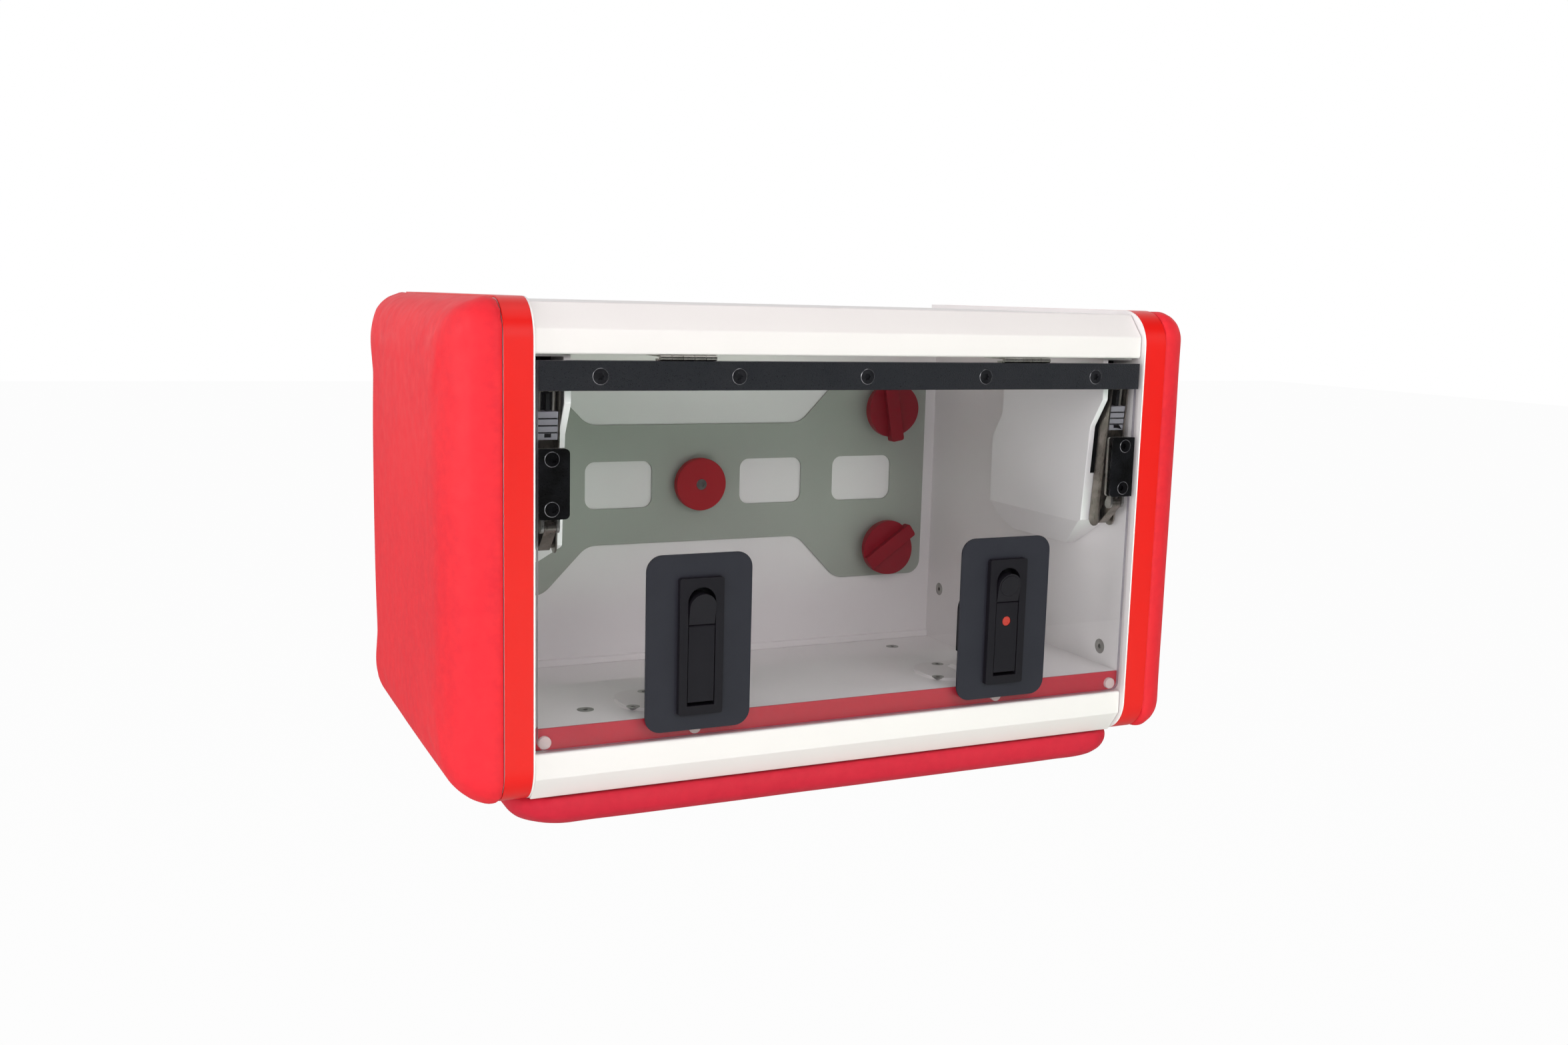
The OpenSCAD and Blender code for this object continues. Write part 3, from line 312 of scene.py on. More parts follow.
def makeStage():
    mesh = bpy.data.meshes.new("floor")
    reach, front, z = stageLook["floorReach"], stageLook["floorFront"], stageLook["floorHeight"]
    mesh.from_pydata([(-reach, front, z), (reach, front, z), (reach, reach, z), (-reach, reach, z)],
                     [], [(0, 1, 2, 3)])
    floor = bpy.data.objects.new("floor", mesh)
    scene.collection.objects.link(floor)
    material, tree, shader = newMaterial("paper sweep", stageLook["floorColour"],
                                         stageLook["floorRoughness"])
    # the lit paper is as white as the wall behind it, with a trace of the object's shadow
    seen = addNode(tree, "ShaderNodeLightPath").outputs["Is Camera Ray"]
    share = stretch(tree, seen, 0, 1, 0, stageLook["floorGlow"])
    glow = addNode(tree, "ShaderNodeEmission", Color=linear("#ffffff"), Strength=1.0)
    both = addNode(tree, "ShaderNodeMixShader", None,
                   {0: share, 1: shader.outputs[0], 2: glow.outputs[0]})
    tree.links.new(both.outputs[0], tree.nodes["Material Output"].inputs["Surface"])
    mesh.materials.append(material)

    world = bpy.data.worlds.new("studio")
    scene.world = world
    world.use_nodes = True
    tree = world.node_tree
    background = tree.nodes["Background"]
    background.inputs["Color"].default_value = linear(stageLook["worldColour"])
    # white paper stands behind the object, and the room in front of it is dim
    facing = addNode(tree, "ShaderNodeTexCoord").outputs["Generated"]
    ahead = addNode(tree, "ShaderNodeSeparateXYZ", None, {0: facing})
    strength = stretch(tree, ahead.outputs["Y"], stageLook["dimFrom"], stageLook["brightFrom"],
                       stageLook["frontStrength"], stageLook["backStrength"])
    tree.links.new(strength, background.inputs["Strength"])
    paper = addNode(tree, "ShaderNodeBackground", Color=linear("#ffffff"), Strength=1.0)
    seen = addNode(tree, "ShaderNodeLightPath").outputs["Is Camera Ray"]
    both = addNode(tree, "ShaderNodeMixShader", None,
                   {0: seen, 1: background.outputs[0], 2: paper.outputs[0]})
    tree.links.new(both.outputs[0], tree.nodes["World Output"].inputs["Surface"])

    for name, place, aim, size, power, colour, glossy in lights:
        data = bpy.data.lights.new(name, "AREA")
        data.shape = "RECTANGLE"
        data.size, data.size_y = size
        data.energy = power
        data.color = linear(colour)[:3]
        lamp = bpy.data.objects.new(name, data)
        lamp.location = place
        lamp.rotation_euler = (Vector(aim) - Vector(place)).to_track_quat("-Z", "Y").to_euler()
        lamp.visible_glossy = lamp.visible_transmission = glossy
        scene.collection.objects.link(lamp)


makeCamera()
makeStage()
scene.view_settings.view_transform = "Standard"
print("stage: camera and studio")


# Materials

def paintMaterial(name, hexColour, roughness, grainMm, depth, tint="#d9d5d1"):
    # coated or laminated face: satin, with a fine orange peel
    material, tree, shader = newMaterial(name, hexColour, roughness, ior=1.5)
    place = objectPlace(tree)
    cloud = grain(tree, place, 90, 2.0)
    veil = stretch(tree, cloud.outputs["Fac"], 0.35, 0.7, 0.0, 0.22)
    tree.links.new(tintMix(tree, veil, hexColour, tint), shader.inputs["Base Color"])
    peel = grain(tree, place, grainMm, 2.0)
    bump = addNode(tree, "ShaderNodeBump", None, {"Height": peel.outputs["Fac"]},
                   Strength=0.35, Distance=depth * mm)
    tree.links.new(bump.outputs["Normal"], shader.inputs["Normal"])
    tree.links.new(stretch(tree, peel.outputs["Fac"], 0.3, 0.7, roughness - 0.05, roughness + 0.08),
                   shader.inputs["Roughness"])
    return material


def vinylMaterial(name, hexColour, deepColour):
    # coated upholstery vinyl: a pebbled skin about 1 mm across, dull with a pale sheen at a low angle
    material, tree, shader = newMaterial(name, hexColour, 0.58, ior=1.46,
                                         Specular_IOR_Level=0.3, Sheen_Weight=0.05, Sheen_Roughness=0.4,
                                         Sheen_Tint=linear("#ffc9c6"))
    place = objectPlace(tree)
    cloud = grain(tree, place, 130, 2.0)
    fine = grain(tree, place, 9, 3.0)
    mixed = addNode(tree, "ShaderNodeMath", {"operation": "MULTIPLY"},
                    {0: cloud.outputs["Fac"], 1: fine.outputs["Fac"]})
    veil = stretch(tree, mixed.outputs[0], 0.15, 0.42, 0.0, 0.55)
    tree.links.new(tintMix(tree, veil, hexColour, deepColour), shader.inputs["Base Color"])
    pebble = addNode(tree, "ShaderNodeTexVoronoi", {"feature": "SMOOTH_F1"}, {"Vector": place},
                     Scale=1 / (1.3 * mm), Smoothness=0.6, Randomness=0.9)
    crease = grain(tree, place, 16, 3.0)
    height = addNode(tree, "ShaderNodeMath", {"operation": "ADD"},
                     {0: pebble.outputs["Distance"], 1: crease.outputs["Fac"]})
    bump = addNode(tree, "ShaderNodeBump", None, {"Height": height.outputs[0]},
                   Strength=0.22, Distance=0.25 * mm)
    tree.links.new(bump.outputs["Normal"], shader.inputs["Normal"])
    tree.links.new(stretch(tree, crease.outputs["Fac"], 0.3, 0.7, 0.52, 0.64), shader.inputs["Roughness"])
    return material


def edgeBandMaterial(name, hexColour, deepColour):
    # extruded PVC edge band: smooth, half gloss, drawn lines along its length
    material, tree, shader = newMaterial(name, hexColour, 0.3, ior=1.53, Specular_IOR_Level=0.35)
    place = objectPlace(tree)
    cloud = grain(tree, place, 70, 2.0)
    veil = stretch(tree, cloud.outputs["Fac"], 0.3, 0.75, 0.0, 0.4)
    tree.links.new(tintMix(tree, veil, hexColour, deepColour), shader.inputs["Base Color"])
    across = addNode(tree, "ShaderNodeMapping", None, {"Vector": place}, Scale=(1.0, 0.02, 0.02))
    lines = grain(tree, across.outputs["Vector"], 1.2, 2.0)
    bump = addNode(tree, "ShaderNodeBump", None, {"Height": lines.outputs["Fac"]},
                   Strength=0.03, Distance=0.05 * mm)
    tree.links.new(bump.outputs["Normal"], shader.inputs["Normal"])
    tree.links.new(stretch(tree, lines.outputs["Fac"], 0.3, 0.7, 0.3, 0.34), shader.inputs["Roughness"])
    return material


def wrinkleCoatMaterial(name, hexColour, sizeMm, gloss=0.5):
    # textured black coat: bright pin points on nearly black, with a grit of sizeMm
    material, tree, shader = newMaterial(name, hexColour, 0.34, ior=1.5, Specular_IOR_Level=gloss)
    place = objectPlace(tree)
    grit = addNode(tree, "ShaderNodeTexVoronoi", {"feature": "SMOOTH_F1"}, {"Vector": place},
                   Scale=1 / (sizeMm * mm), Smoothness=0.5)
    fine = grain(tree, place, sizeMm * 0.6, 2.0)
    height = addNode(tree, "ShaderNodeMath", {"operation": "ADD"},
                     {0: grit.outputs["Distance"], 1: fine.outputs["Fac"]})
    bump = addNode(tree, "ShaderNodeBump", None, {"Height": height.outputs[0]},
                   Strength=0.6, Distance=0.35 * mm)
    tree.links.new(bump.outputs["Normal"], shader.inputs["Normal"])
    tree.links.new(stretch(tree, fine.outputs["Fac"], 0.3, 0.7, 0.26, 0.45), shader.inputs["Roughness"])
    veil = stretch(tree, grain(tree, place, 25).outputs["Fac"], 0.4, 0.7, 0.0, 0.5)
    tree.links.new(tintMix(tree, veil, hexColour, "#1c1c22"), shader.inputs["Base Color"])
    return material


def mouldedMaterial(name, hexColour, paleColour, roughness, sizeMm, depthMm, strength=0.35, gloss=0.5):
    # moulded ABS or nylon with a spark-eroded grain: dull highlights broken into fine dots
    material, tree, shader = newMaterial(name, hexColour, roughness, ior=1.52, Specular_IOR_Level=gloss)
    place = objectPlace(tree)
    fine = grain(tree, place, sizeMm, 3.0, 0.6)
    cloud = grain(tree, place, 30, 2.0)
    veil = stretch(tree, cloud.outputs["Fac"], 0.35, 0.7, 0.0, 0.4)
    tree.links.new(tintMix(tree, veil, hexColour, paleColour), shader.inputs["Base Color"])
    bump = addNode(tree, "ShaderNodeBump", None, {"Height": fine.outputs["Fac"]},
                   Strength=strength, Distance=depthMm * mm)
    tree.links.new(bump.outputs["Normal"], shader.inputs["Normal"])
    tree.links.new(stretch(tree, fine.outputs["Fac"], 0.3, 0.7, roughness - 0.06, roughness + 0.1),
                   shader.inputs["Roughness"])
    return material


def metalMaterial(name, hexColour, darkColour, roughness, sizeMm=0.8, streak=(1, 1, 1)):
    # bright zinc plate or turned steel: grey metal with faint streaks and dull spots
    material, tree, shader = newMaterial(name, hexColour, roughness, metallic=1.0)
    place = objectPlace(tree)
    mapped = addNode(tree, "ShaderNodeMapping", None, {"Vector": place}, Scale=streak)
    fine = grain(tree, mapped.outputs["Vector"], sizeMm, 3.0)
    cloud = grain(tree, place, 12, 2.0)
    veil = stretch(tree, cloud.outputs["Fac"], 0.35, 0.65, 0.0, 0.7)
    tree.links.new(tintMix(tree, veil, hexColour, darkColour), shader.inputs["Base Color"])
    bump = addNode(tree, "ShaderNodeBump", None, {"Height": fine.outputs["Fac"]},
                   Strength=0.2, Distance=0.06 * mm)
    tree.links.new(bump.outputs["Normal"], shader.inputs["Normal"])
    tree.links.new(stretch(tree, fine.outputs["Fac"], 0.3, 0.7, roughness - 0.06, roughness + 0.14),
                   shader.inputs["Roughness"])
    return material


def acrylicMaterial(name, hexColour):
    # cast acrylic sheet: clear, with faint wipe marks in the gloss; light passes to what lies behind
    material, tree, shader = newMaterial(name, hexColour, 0.0, ior=1.49, Transmission_Weight=1.0)
    place = objectPlace(tree)
    smear = addNode(tree, "ShaderNodeMapping", None, {"Vector": place}, Scale=(1.0, 1.0, 0.25))
    wipe = grain(tree, smear.outputs["Vector"], 60, 3.0)
    tree.links.new(stretch(tree, wipe.outputs["Fac"], 0.4, 0.75, 0.0, 0.015), shader.inputs["Roughness"])
    clear = addNode(tree, "ShaderNodeBsdfTransparent", Color=linear("#ffffff"))
    path = addNode(tree, "ShaderNodeLightPath")
    light = addNode(tree, "ShaderNodeMath", {"operation": "MAXIMUM"},
                    {0: path.outputs["Is Shadow Ray"], 1: path.outputs["Is Diffuse Ray"]})
    both = addNode(tree, "ShaderNodeMixShader", None,
                   {0: light.outputs[0], 1: shader.outputs[0], 2: clear.outputs[0]})
    tree.links.new(both.outputs[0], tree.nodes["Material Output"].inputs["Surface"])
    return material


whiteCoat = paintMaterial("white powder coat", "#ebe5e5", 0.34, 1.6, 0.05, "#e5dedf")
springWire = metalMaterial("bright spring wire", "#e2dfd6", "#bdb9af", 0.5, 0.5)
sawnAcrylic = newMaterial("sawn acrylic edge", "#8b8492", 0.3, ior=1.49, Alpha=0.7)[0]
# bright steel for the countersink rings: a painted highlight round the dark screw heads
screwRimHighlightSteel = metalMaterial("countersink ring painted highlight", "#b4b5ba", "#7d7e84", 0.28, 0.5)
whiteBoard = paintMaterial("white laminate", "#f3efef", 0.42, 2.4, 0.06, "#eae5e5")
whiteShell = paintMaterial("white moulded shell", "#f7f4f4", 0.5, 1.2, 0.08, "#eeebeb")
greyPlate = paintMaterial("grey coated sheet", "#a9ada4", 0.36, 1.0, 0.05, "#9da197")
redVinyl = vinylMaterial("red upholstery vinyl", "#e82732", "#d31c2e")
# the same vinyl as the sides, made darker to paint the shade on the underside
redVinylPaintedShade = vinylMaterial("red upholstery vinyl painted shade under", "#cb2036", "#ba182f")
redBand = edgeBandMaterial("red PVC edge band", "#e4150f", "#da130f")
redSill = edgeBandMaterial("red PVC sill band", "#b81f33", "#a81b2e")
blackCoat = wrinkleCoatMaterial("black textured coat", "#14161d", 1.1, 0.85)
blackPlate = wrinkleCoatMaterial("smooth black coat", "#050506", 2.2, 0.2)
slatePlastic = mouldedMaterial("slate ABS", "#282831", "#2e2e37", 0.5, 0.9, 0.12, 0.35, 0.3)
latchPlastic = mouldedMaterial("black nylon", "#17151b", "#1d1b22", 0.45, 0.6, 0.06, 0.35, 0.28)
dullBlack = mouldedMaterial("dull black nylon", "#101012", "#17171a", 0.55, 0.8, 0.08, 0.35, 0.3)
knobPlastic = mouldedMaterial("dark red ABS", "#8e0a1f", "#970e25", 0.4, 0.8, 0.08, 0.35, 0.3)
discPlastic = mouldedMaterial("dark red nylon", "#aa1320", "#b21826", 0.5, 0.8, 0.08, 0.35, 0.3)
dotEnamel = mouldedMaterial("orange red enamel", "#b8332a", "#ab2c24", 0.3, 1.2, 0.03)
greyPlastic = mouldedMaterial("lilac grey POM", "#85828a", "#7a7780", 0.45, 0.9, 0.05)
brightZinc = metalMaterial("bright zinc plate", "#c9c7c2", "#a19e98", 0.3)
screwZinc = metalMaterial("screw zinc", "#b9b8b4", "#7f7d79", 0.34, 0.5)
blackScrew = metalMaterial("black oxide steel", "#66676d", "#3e3f45", 0.36, 0.5)
bluedScrew = metalMaterial("blued screw steel", "#303034", "#1d1d20", 0.4, 0.5)
stampedSteel = metalMaterial("stamped steel", "#a39c93", "#746e67", 0.3, 0.9, (1, 1, 0.15))
acrylicSheet = acrylicMaterial("cast acrylic", "#f2f4f6")
bumperClear = newMaterial("clear bumper gel", "#f2e9e9", 0.22, ior=1.43, Alpha=0.35)[0]
print("stage: materials")


# CAD nodes that keep their shape

dress(screwZinc, "back_inserts")
dress(brightZinc, "hinge_pins", "lift_pivot_pins")
dress(springWire, "left_arm_springs", "right_arm_springs")
dress(dullBlack, "left_lift_unit", "right_lift_unit")
dress(whiteBoard, "floor_panel", "back_panel", "roof_panel")
print("stage: carried nodes")


# Copies of the CAD solids with their edges softened

def softCopy(node, material, widthMm, slotName, segments=2, flatDegrees=1.5, angle=32):
    # a copy of one node's mesh: flat faces are merged and the sharp edges get a small radius
    source = nodes[node]
    mesh = source.data.copy()
    mesh.name = node + "Soft"
    work = bmesh.new()
    work.from_mesh(mesh)
    bmesh.ops.remove_doubles(work, verts=work.verts, dist=2e-6)
    bmesh.ops.dissolve_limit(work, angle_limit=math.radians(flatDegrees),
                             verts=work.verts, edges=work.edges)
    work.to_mesh(mesh)
    work.free()
    piece = finishMesh(node + "Soft", mesh, material, source["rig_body"], slotName, angle)
    softenEdges(piece, widthMm, segments, angle)
    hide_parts(node)
    return piece


softened = [
    # node, material, edge radius in mm, slot
    ("left_side_panel", whiteBoard, 0.35, "white_board"),
    ("right_side_panel", whiteBoard, 0.35, "white_board"),
    ("sill_board", whiteBoard, 0.6, "white_board"),
    ("back_cove_strip", whiteBoard, 0.5, "white_board"),
    ("left_edge_band", redBand, 0.55, "band_edge"),
    ("right_edge_band", redBand, 0.55, "band_edge"),
    ("sill_edging", redSill, 0.4, "band_edge"),
    ("left_lift_housing", whiteShell, 0.8, "white_shell"),
    ("right_lift_housing", whiteShell, 0.8, "white_shell"),
    ("strike_plates", whiteCoat, 0.5, "white_rail"),
    ("mounting_plate", greyPlate, 0.35, "plate_grey"),
    ("door_strip", blackCoat, 0.3, "black_strip"),
    ("door_back_strip", blackCoat, 0.3, "black_strip"),
    ("bracket_plates", blackPlate, 0.35, "black_strip"),
    ("bracket_clips", brightZinc, 0.25, "bare_steel"),
    ("hinge_fixed_leaves", brightZinc, 0.2, "bare_steel"),
    ("hinge_moving_leaves", brightZinc, 0.2, "bare_steel"),
    ("latch_plates", slatePlastic, 0.5, "plate_blue"),
    ("left_latch_body", latchPlastic, 0.45, "latch_black"),
    ("right_latch_body", latchPlastic, 0.45, "latch_black"),
    ("latch_gearboxes", dullBlack, 0.8, "latch_black"),
    ("left_cam", dullBlack, 0.5, "latch_black"),
    ("right_cam", dullBlack, 0.5, "latch_black"),
    ("left_lift_arm", stampedSteel, 0.25, "bare_steel"),
    ("right_lift_arm", stampedSteel, 0.25, "bare_steel"),
    ("left_lift_link", stampedSteel, 0.25, "bare_steel"),
    ("right_lift_link", stampedSteel, 0.25, "bare_steel"),
    ("left_arm_slider", greyPlastic, 0.3, "slider_grey"),
    ("right_arm_slider", greyPlastic, 0.3, "slider_grey"),
    ("left_handle", latchPlastic, 0.5, "latch_black"),
    ("right_handle", latchPlastic, 0.5, "latch_black"),
    ("right_button", latchPlastic, 0.6, "latch_black"),
    ("handle_indicator", dotEnamel, 0.3, "indicator_red"),
    ("center_disc", discPlastic, 0.8, "knob_red"),
    ("upper_left_knob", knobPlastic, 0.8, "knob_red"),
    ("lower_left_knob", knobPlastic, 0.8, "knob_red"),
    ("upper_right_knob", knobPlastic, 0.8, "knob_red"),
    ("lower_right_knob", knobPlastic, 0.8, "knob_red"),
    ("strip_screws", blackScrew, 0.22, "bare_steel"),
    ("bracket_screws", bluedScrew, 0.22, "bare_steel"),
    ("disc_screw", screwZinc, 0.2, "bare_steel"),
    ("panel_screws", screwZinc, 0.2, "bare_steel"),
    ("strike_screws", screwZinc, 0.2, "bare_steel"),
    ("door_panel", acrylicSheet, 0.45, "clear_sheet"),
    ("door_bumpers", bumperClear, 0.5, "clear_sheet"),
]
for nodeName, material, widthMm, slotName in softened:
    softCopy(nodeName, material, widthMm, slotName)
print("stage: softened copies", len(softened))


# Edges of the pane, rims round the screws with a painted highlight, liners in the lift arms with painted
# shade in the slider's grooves

def markEdges(piece, material):
    # the faces that run through the sheet's thickness are sawn, not polished
    piece.data.materials.append(material)
    for face in piece.data.polygons:
        if abs(face.normal.y) < 0.5:
            face.material_index = 1


rimShape = {
    # mm; the rings stand round the heads on the door's strip and brackets, shaped as the countersinks and
    # made bright steel to paint their highlight
    "stripX": (-242, -121, 0, 121, 242), "stripZ": 145.6, "stripY": -399.0, "stripRadius": 6.1,
    "bracketX": (-281.7, 281.7), "bracketZ": (39.1, 79.5), "bracketY": -398.5, "bracketRadius": 5.6,
    "width": 0.75, "height": 0.3, "sink": 0.1, "chamfer": 0.1, "crest": 0.45, "sides": 40,
}
armShape = {
    # mm and degrees; places along the arm are measured from its pivot
    "pivot": (-378.0, 143.0), "tilt": 4.574, "sideways": 281.0,
    "linerHalf": 8.2, "linerBack": (1.9, 5.1), "linerZ": (-25.6, -11.6),
    "stemHalf": 1.6, "stemFront": -4.5, "edge": 0.12,
    "grooveZ": (-43.25, -37.5, -31.75), "grooveHalf": 7.8, "grooveTall": 0.55, "grooveY": (-6.1, -5.52),
    "pocketHalf": 2.7, "pocketY": (-5.6, -5.02), "pocketZ": (-47.1, -44.1),
}


def makeRims():
    shape = rimShape
    places = [(x, shape["stripY"], shape["stripZ"], shape["stripRadius"]) for x in shape["stripX"]]
    places += [(x, shape["bracketY"], z, shape["bracketRadius"])
               for x in shape["bracketX"] for z in shape["bracketZ"]]
    rims = []
    for k, (x, y, z, radius) in enumerate(places):
        wide, high, sink = shape["width"], shape["height"], shape["sink"]
        profile = [(radius, -sink), (radius + shape["chamfer"], high),
                   (radius + wide * shape["crest"], high), (radius + wide, 0.0), (radius + wide, -sink)]
        rims.append(lathe("rim" + str(k), profile, (x, y, z), (0, -1, 0), screwRimHighlightSteel,
                          "door", "bare_steel", shape["sides"]))
    return combine("screwRims", rims, "door")


def makeArmLinerAndGrooveShade(side):
    # the dark moulding that the two springs lie on, and dark blocks that paint the shade in the slider's
    # grooves and pocket
    shape = armShape
    tilt = math.radians(shape["tilt"])
    mesh = bpy.data.meshes.new("armLinerAndGrooveShade")
    work = bmesh.new()
    half, stem = shape["linerHalf"], shape["stemHalf"]
    # the first two blocks are the liner and its stem; the pocket block and the groove blocks are painted
    # shade, dark where the slider's recesses fall in shade
    blocks = [(-half, half, shape["linerBack"], shape["linerZ"]),
              (-stem, stem, (shape["stemFront"], shape["linerBack"][0]), shape["linerZ"]),
              (-shape["pocketHalf"], shape["pocketHalf"], shape["pocketY"], shape["pocketZ"])]
    wide, tall = shape["grooveHalf"], shape["grooveTall"]
    blocks += [(-wide, wide, shape["grooveY"], (z - tall, z + tall)) for z in shape["grooveZ"]]
    for low, high, (near, far), (foot, top) in blocks:
        corners = [(x, y, z) for x in (low, high) for y in (near, far) for z in (foot, top)]
        verts = []
        for x, y, z in corners:
            verts.append(work.verts.new(Vector((
                side * shape["sideways"] + x,
                shape["pivot"][0] + y * math.cos(tilt) - z * math.sin(tilt),
                shape["pivot"][1] + y * math.sin(tilt) + z * math.cos(tilt))) * mm))
        for loop in ((0, 1, 3, 2), (4, 6, 7, 5), (0, 4, 5, 1), (2, 3, 7, 6), (0, 2, 6, 4), (1, 5, 7, 3)):
            work.faces.new([verts[i] for i in loop])
    work.to_mesh(mesh)
    work.free()
    name, body = ("leftArmLinerAndGrooveShade", "left_arm") if side < 0 else ("rightArmLinerAndGrooveShade", "right_arm")
    piece = finishMesh(name, mesh, dullBlack, body, "latch_black")
    softenEdges(piece, shape["edge"])
    return piece


markEdges(bpy.data.objects["door_panelSoft"], sawnAcrylic)
makeRims()
for side in (-1, 1):
    makeArmLinerAndGrooveShade(side)
print("stage: edges, rims and liners")


# Front rails

railShape = {
    "halfLength": 295.3, "faceY": -396.0, "faceRadius": 2.2, "lipRadius": 1.6, "endRadius": 1.1,
    "frontDepth": 20,   # corners nearer the face than this take the face's radius
    "top": [(0, 163), (0, 183), (18, 204), (40, 204), (40, 163)],      # y from the face, z, in mm
    "bottom": [(0, -186), (0, -164), (8, -164), (8, -170), (30, -170), (30, -207), (15, -207)],
}


def makeRail(name, key, node):
    shape = railShape
    points = [(shape["faceY"] + y, z) for y, z in shape[key]]
    radii = [shape["faceRadius"] if y < shape["frontDepth"] else shape["lipRadius"] for y, z in shape[key]]
    rail = prism(name, filletLoop(points, radii, steps=5), -shape["halfLength"], shape["halfLength"],
                 whiteCoat, "cabinet", shape["endRadius"], "white_rail", segments=3)
    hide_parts(node)
    return rail


makeRail("topFrontRail", "top", "top_front_rail")
makeRail("bottomFrontRail", "bottom", "bottom_front_rail")
print("stage: rails")


# Padded sides and underside

padShape = {
    # mm, apart from the start's share of the thickness, the pressure and the fill
    "seamX": 321.3, "thick": 44.0, "frontY": -402.0, "backY": 0.0, "halfHeight": 209.0,
    "edge": 3.0, "crownY": 50.0, "crownZ": 31.0, "corner": 25.0, "tuck": 2.2, "seamHeight": 4.0,
    "start": 0.965, "voxel": 6.0, "lift": 1.8, "pressure": 4.0, "pucker": 0.55, "fill": 0.75,
}
bottomShape = {
    "halfWidth": 310.0, "frontY": -388.0, "backY": -8.0, "topZ": -208.3, "thick": 31.0,
    "edge": 10.0, "crown": 28.0, "corner": 42.0, "tuck": 1.6, "seamHeight": 5.0,
    "start": 0.965, "voxel": 6.0, "lift": 1.4, "pressure": 3.5, "pucker": 0.5, "fill": 0.7,
}
foam = {
    # the cloth's length in frames, its mass and its stiffness
    "frames": 20, "quality": 4, "mass": 0.4, "stretch": 12, "shear": 6, "bend": 2.5,
    "leastCorner": 4.0, "cornerShare": 0.35,   # a ring's corner shrinks by a share of its draw-in
}
folds = {
    # where the corners' folds begin, how fast they fade from the seam, and the skin's uneven swell
    "cornerFrom": 0.72, "fadeMm": 9, "waves": (74, 41), "secondWave": 0.6,
    "unevenScale": 14, "uneven": 0.9, "rise": 0.5, "spread": 0.4,
}


def roundedRing(halfA, halfB, radius, count=14, straight=12):
    # closed ring of points round a rectangle, the same number for every size
    ring = []
    for quarter in range(4):
        turn = Matrix.Rotation(quarter * math.pi / 2, 2)
        a, b = (halfA, halfB) if quarter % 2 == 0 else (halfB, halfA)
        side = b - radius
        points = [Vector((a, -side + 2 * side * k / straight)) for k in range(straight)]
        for k in range(count):
            angle = math.pi / 2 * k / count
            points.append(Vector((a - radius + radius * math.cos(angle), side + radius * math.sin(angle))))
        for point in points:
            point.rotate(turn)
        ring += points
    return ring


def crownedPad(name, halfA, halfB, corner, profile):
    # rings that draw in as they rise: profile is [(draw-in along a, along b, height)] from the base up
    mesh = bpy.data.meshes.new(name)
    work = bmesh.new()
    rings = []
    for drawA, drawB, height in profile:
        radius = max(foam["leastCorner"], corner - foam["cornerShare"] * min(drawA, drawB))
        ring = roundedRing(halfA - drawA, halfB - drawB, radius)
        rings.append([work.verts.new((p.x * mm, p.y * mm, height * mm)) for p in ring])
    for lower, upper in zip(rings, rings[1:]):
        for k in range(len(lower)):
            after = (k + 1) % len(lower)
            work.faces.new((lower[k], lower[after], upper[after], upper[k]))
    work.faces.new(rings[0][::-1])
    work.faces.new(rings[-1])
    work.to_mesh(mesh)
    work.free()
    return mesh


def padProfile(shape, crown, steps=9):
    # from the seam up: tucked under, upright to the edge's height, then a quarter ellipse
    crownA, crownB = crown
    rise, tuck = shape["edge"], shape["tuck"]
    domed = shape["thick"] * shape["start"] - rise
    profile = [(tuck, tuck, 0.0), (tuck * 0.25, tuck * 0.25, rise * 0.35), (0.0, 0.0, rise)]
    for k in range(1, steps + 1):
        angle = math.pi / 2 * k / steps
        drawn = 1 - math.cos(angle)
        profile.append((crownA * drawn, crownB * drawn, rise + domed * math.sin(angle)))
    return profile


def inflate(mesh, shape):
    # foam under vinyl: voxel remesh, then cloth with pressure, pinned at the seam, its movement capped
    piece = bpy.data.objects.new("inflating", mesh)
    scene.collection.objects.link(piece)
    remesh = piece.modifiers.new("remesh", "REMESH")
    remesh.mode = "VOXEL"
    remesh.voxel_size = shape["voxel"] * mm
    remesh.use_smooth_shade = True
    bpy.context.view_layer.update()
    start = bpy.data.meshes.new_from_object(piece.evaluated_get(bpy.context.evaluated_depsgraph_get()))
    piece.modifiers.clear()
    piece.data = start
    rest = [v.co.copy() for v in start.vertices]
    held = piece.vertex_groups.new(name="held")
    held.add([v.index for v in start.vertices if v.co.z < shape["seamHeight"] * mm], 1.0, "REPLACE")
    cloth = piece.modifiers.new("cloth", "CLOTH")
    settings = cloth.settings
    settings.quality = foam["quality"]
    settings.mass = foam["mass"]
    settings.tension_stiffness = settings.compression_stiffness = foam["stretch"]
    settings.shear_stiffness = foam["shear"]
    settings.bending_stiffness = foam["bend"]
    settings.use_pressure = True
    settings.uniform_pressure_force = shape["pressure"]
    settings.effector_weights.gravity = 0
    settings.vertex_group_mass = "held"
    cloth.collision_settings.use_collision = False
    cloth.point_cache.frame_start = 1
    cloth.point_cache.frame_end = foam["frames"]
    for step in range(1, foam["frames"] + 1):
        scene.frame_set(step)
    swollen = bpy.data.meshes.new_from_object(
        piece.evaluated_get(bpy.context.evaluated_depsgraph_get()))
    cap = shape["lift"] * mm
    for vert, old, new in zip(start.vertices, rest, swollen.vertices):
        move = new.co - old
        far = move.length
        if far > 1e-7:
            vert.co = old + move * (cap * math.tanh(far / cap) / far)
    piece.modifiers.clear()
    piece.vertex_groups.clear()
    bpy.data.meshes.remove(swollen)
    scene.frame_set(1)
    bpy.data.objects.remove(piece)
    return start


def settleHeight(mesh, heightMm):
    # brings the pad back to its full thickness
    top = max(v.co.z for v in mesh.vertices)
    for vert in mesh.vertices:
        vert.co.z *= heightMm * mm / top


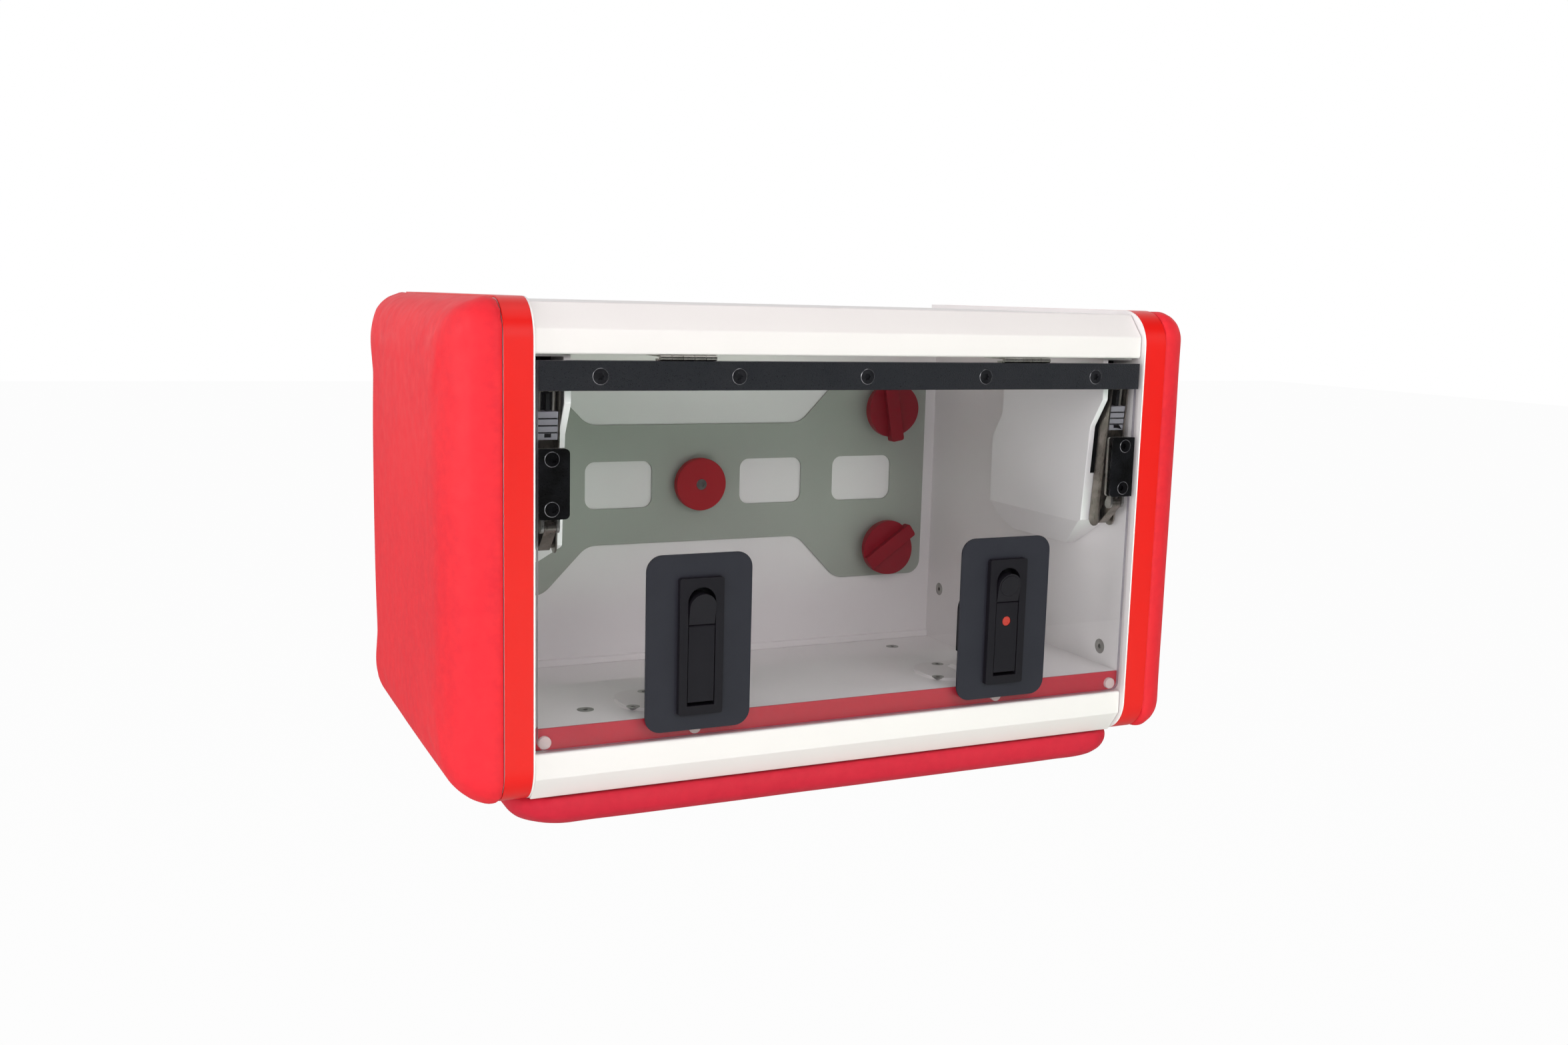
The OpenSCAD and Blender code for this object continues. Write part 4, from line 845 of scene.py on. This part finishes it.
def puckers(mesh, halfA, halfB, depthMm, seed):
    # small folds where the vinyl gathers round each corner, strongest at the seam
    fromShare = folds["cornerFrom"]
    fast, slow = folds["waves"]
    for vert in mesh.vertices:
        a, b = abs(vert.co.x) / (halfA * mm), abs(vert.co.y) / (halfB * mm)
        cornerShare = max(0.0, (a * b - fromShare) / (1 - fromShare))
        low = math.exp(-vert.co.z / (folds["fadeMm"] * mm))
        angle = math.atan2(vert.co.y * halfA, vert.co.x * halfB)
        wave = math.sin(angle * fast + seed) + folds["secondWave"] * math.sin(angle * slow + 2 * seed)
        broad = noise.noise(vert.co * folds["unevenScale"] + Vector((seed, 0, 0)))
        shift = depthMm * mm * (cornerShare * low * wave + folds["uneven"] * broad)
        vert.co.z += shift * folds["rise"]
        vert.co.x *= 1 + shift * folds["spread"] / (halfA * mm)
        vert.co.y *= 1 + shift * folds["spread"] / (halfB * mm)


def placePad(name, mesh, place, material, body, node, slotName):
    own = mesh.copy()
    own.name = name
    for vert in own.vertices:
        vert.co = place(vert.co)
    pad = finishMesh(name, own, material, body, slotName, smoothAngle=60)
    smooth = pad.modifiers.new("smooth", "SUBSURF")
    smooth.levels = smooth.render_levels = 1
    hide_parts(node)
    return pad


def swollenForm(name, shape, halfA, halfB, crown):
    # the crowned form of a pad, blown up and brought back to its thickness
    form = crownedPad(name, halfA, halfB, shape["corner"], padProfile(shape, crown))
    swollen = inflate(form, shape)
    settleHeight(swollen, shape["thick"])
    return swollen


def makeSidePads():
    shape = padShape
    halfA = (shape["backY"] - shape["frontY"]) / 2
    halfB = shape["halfHeight"]
    middle = (shape["backY"] + shape["frontY"]) / 2 * mm
    seam = shape["seamX"] * mm
    swollen = swollenForm("sidePadStart", shape, halfA, halfB, (shape["crownY"], shape["crownZ"]))
    for name, side, seed in (("leftSidePad", -1, 1.3), ("rightSidePad", 1, 2.9)):
        own = swollen.copy()
        puckers(own, halfA, halfB, shape["pucker"], seed)
        placePad(name, own, lambda p, s=side: Vector((s * (seam + max(p.z, 0)), middle + p.x, p.y)),
                 redVinyl, "cabinet", "left_side_pad" if side < 0 else "right_side_pad",
                 "pad_vinyl")


def makeBottomPad():
    shape = bottomShape
    halfA = shape["halfWidth"]
    halfB = (shape["backY"] - shape["frontY"]) / 2
    middle = (shape["backY"] + shape["frontY"]) / 2 * mm
    top = shape["topZ"] * mm
    swollen = swollenForm("bottomPadStart", shape, halfA, halfB, (shape["crown"], shape["crown"]))
    puckers(swollen, halfA, halfB, shape["pucker"], seed=4.4)
    # the underside pad takes the darker vinyl, which is painted shade
    placePad("bottomPad", swollen, lambda p: Vector((-p.x, middle + p.y, top - max(p.z, 0))),
             redVinylPaintedShade, "cabinet", "bottom_pad", "pad_vinyl")


makeSidePads()
makeBottomPad()
print("stage: pads")


print("stage: done")
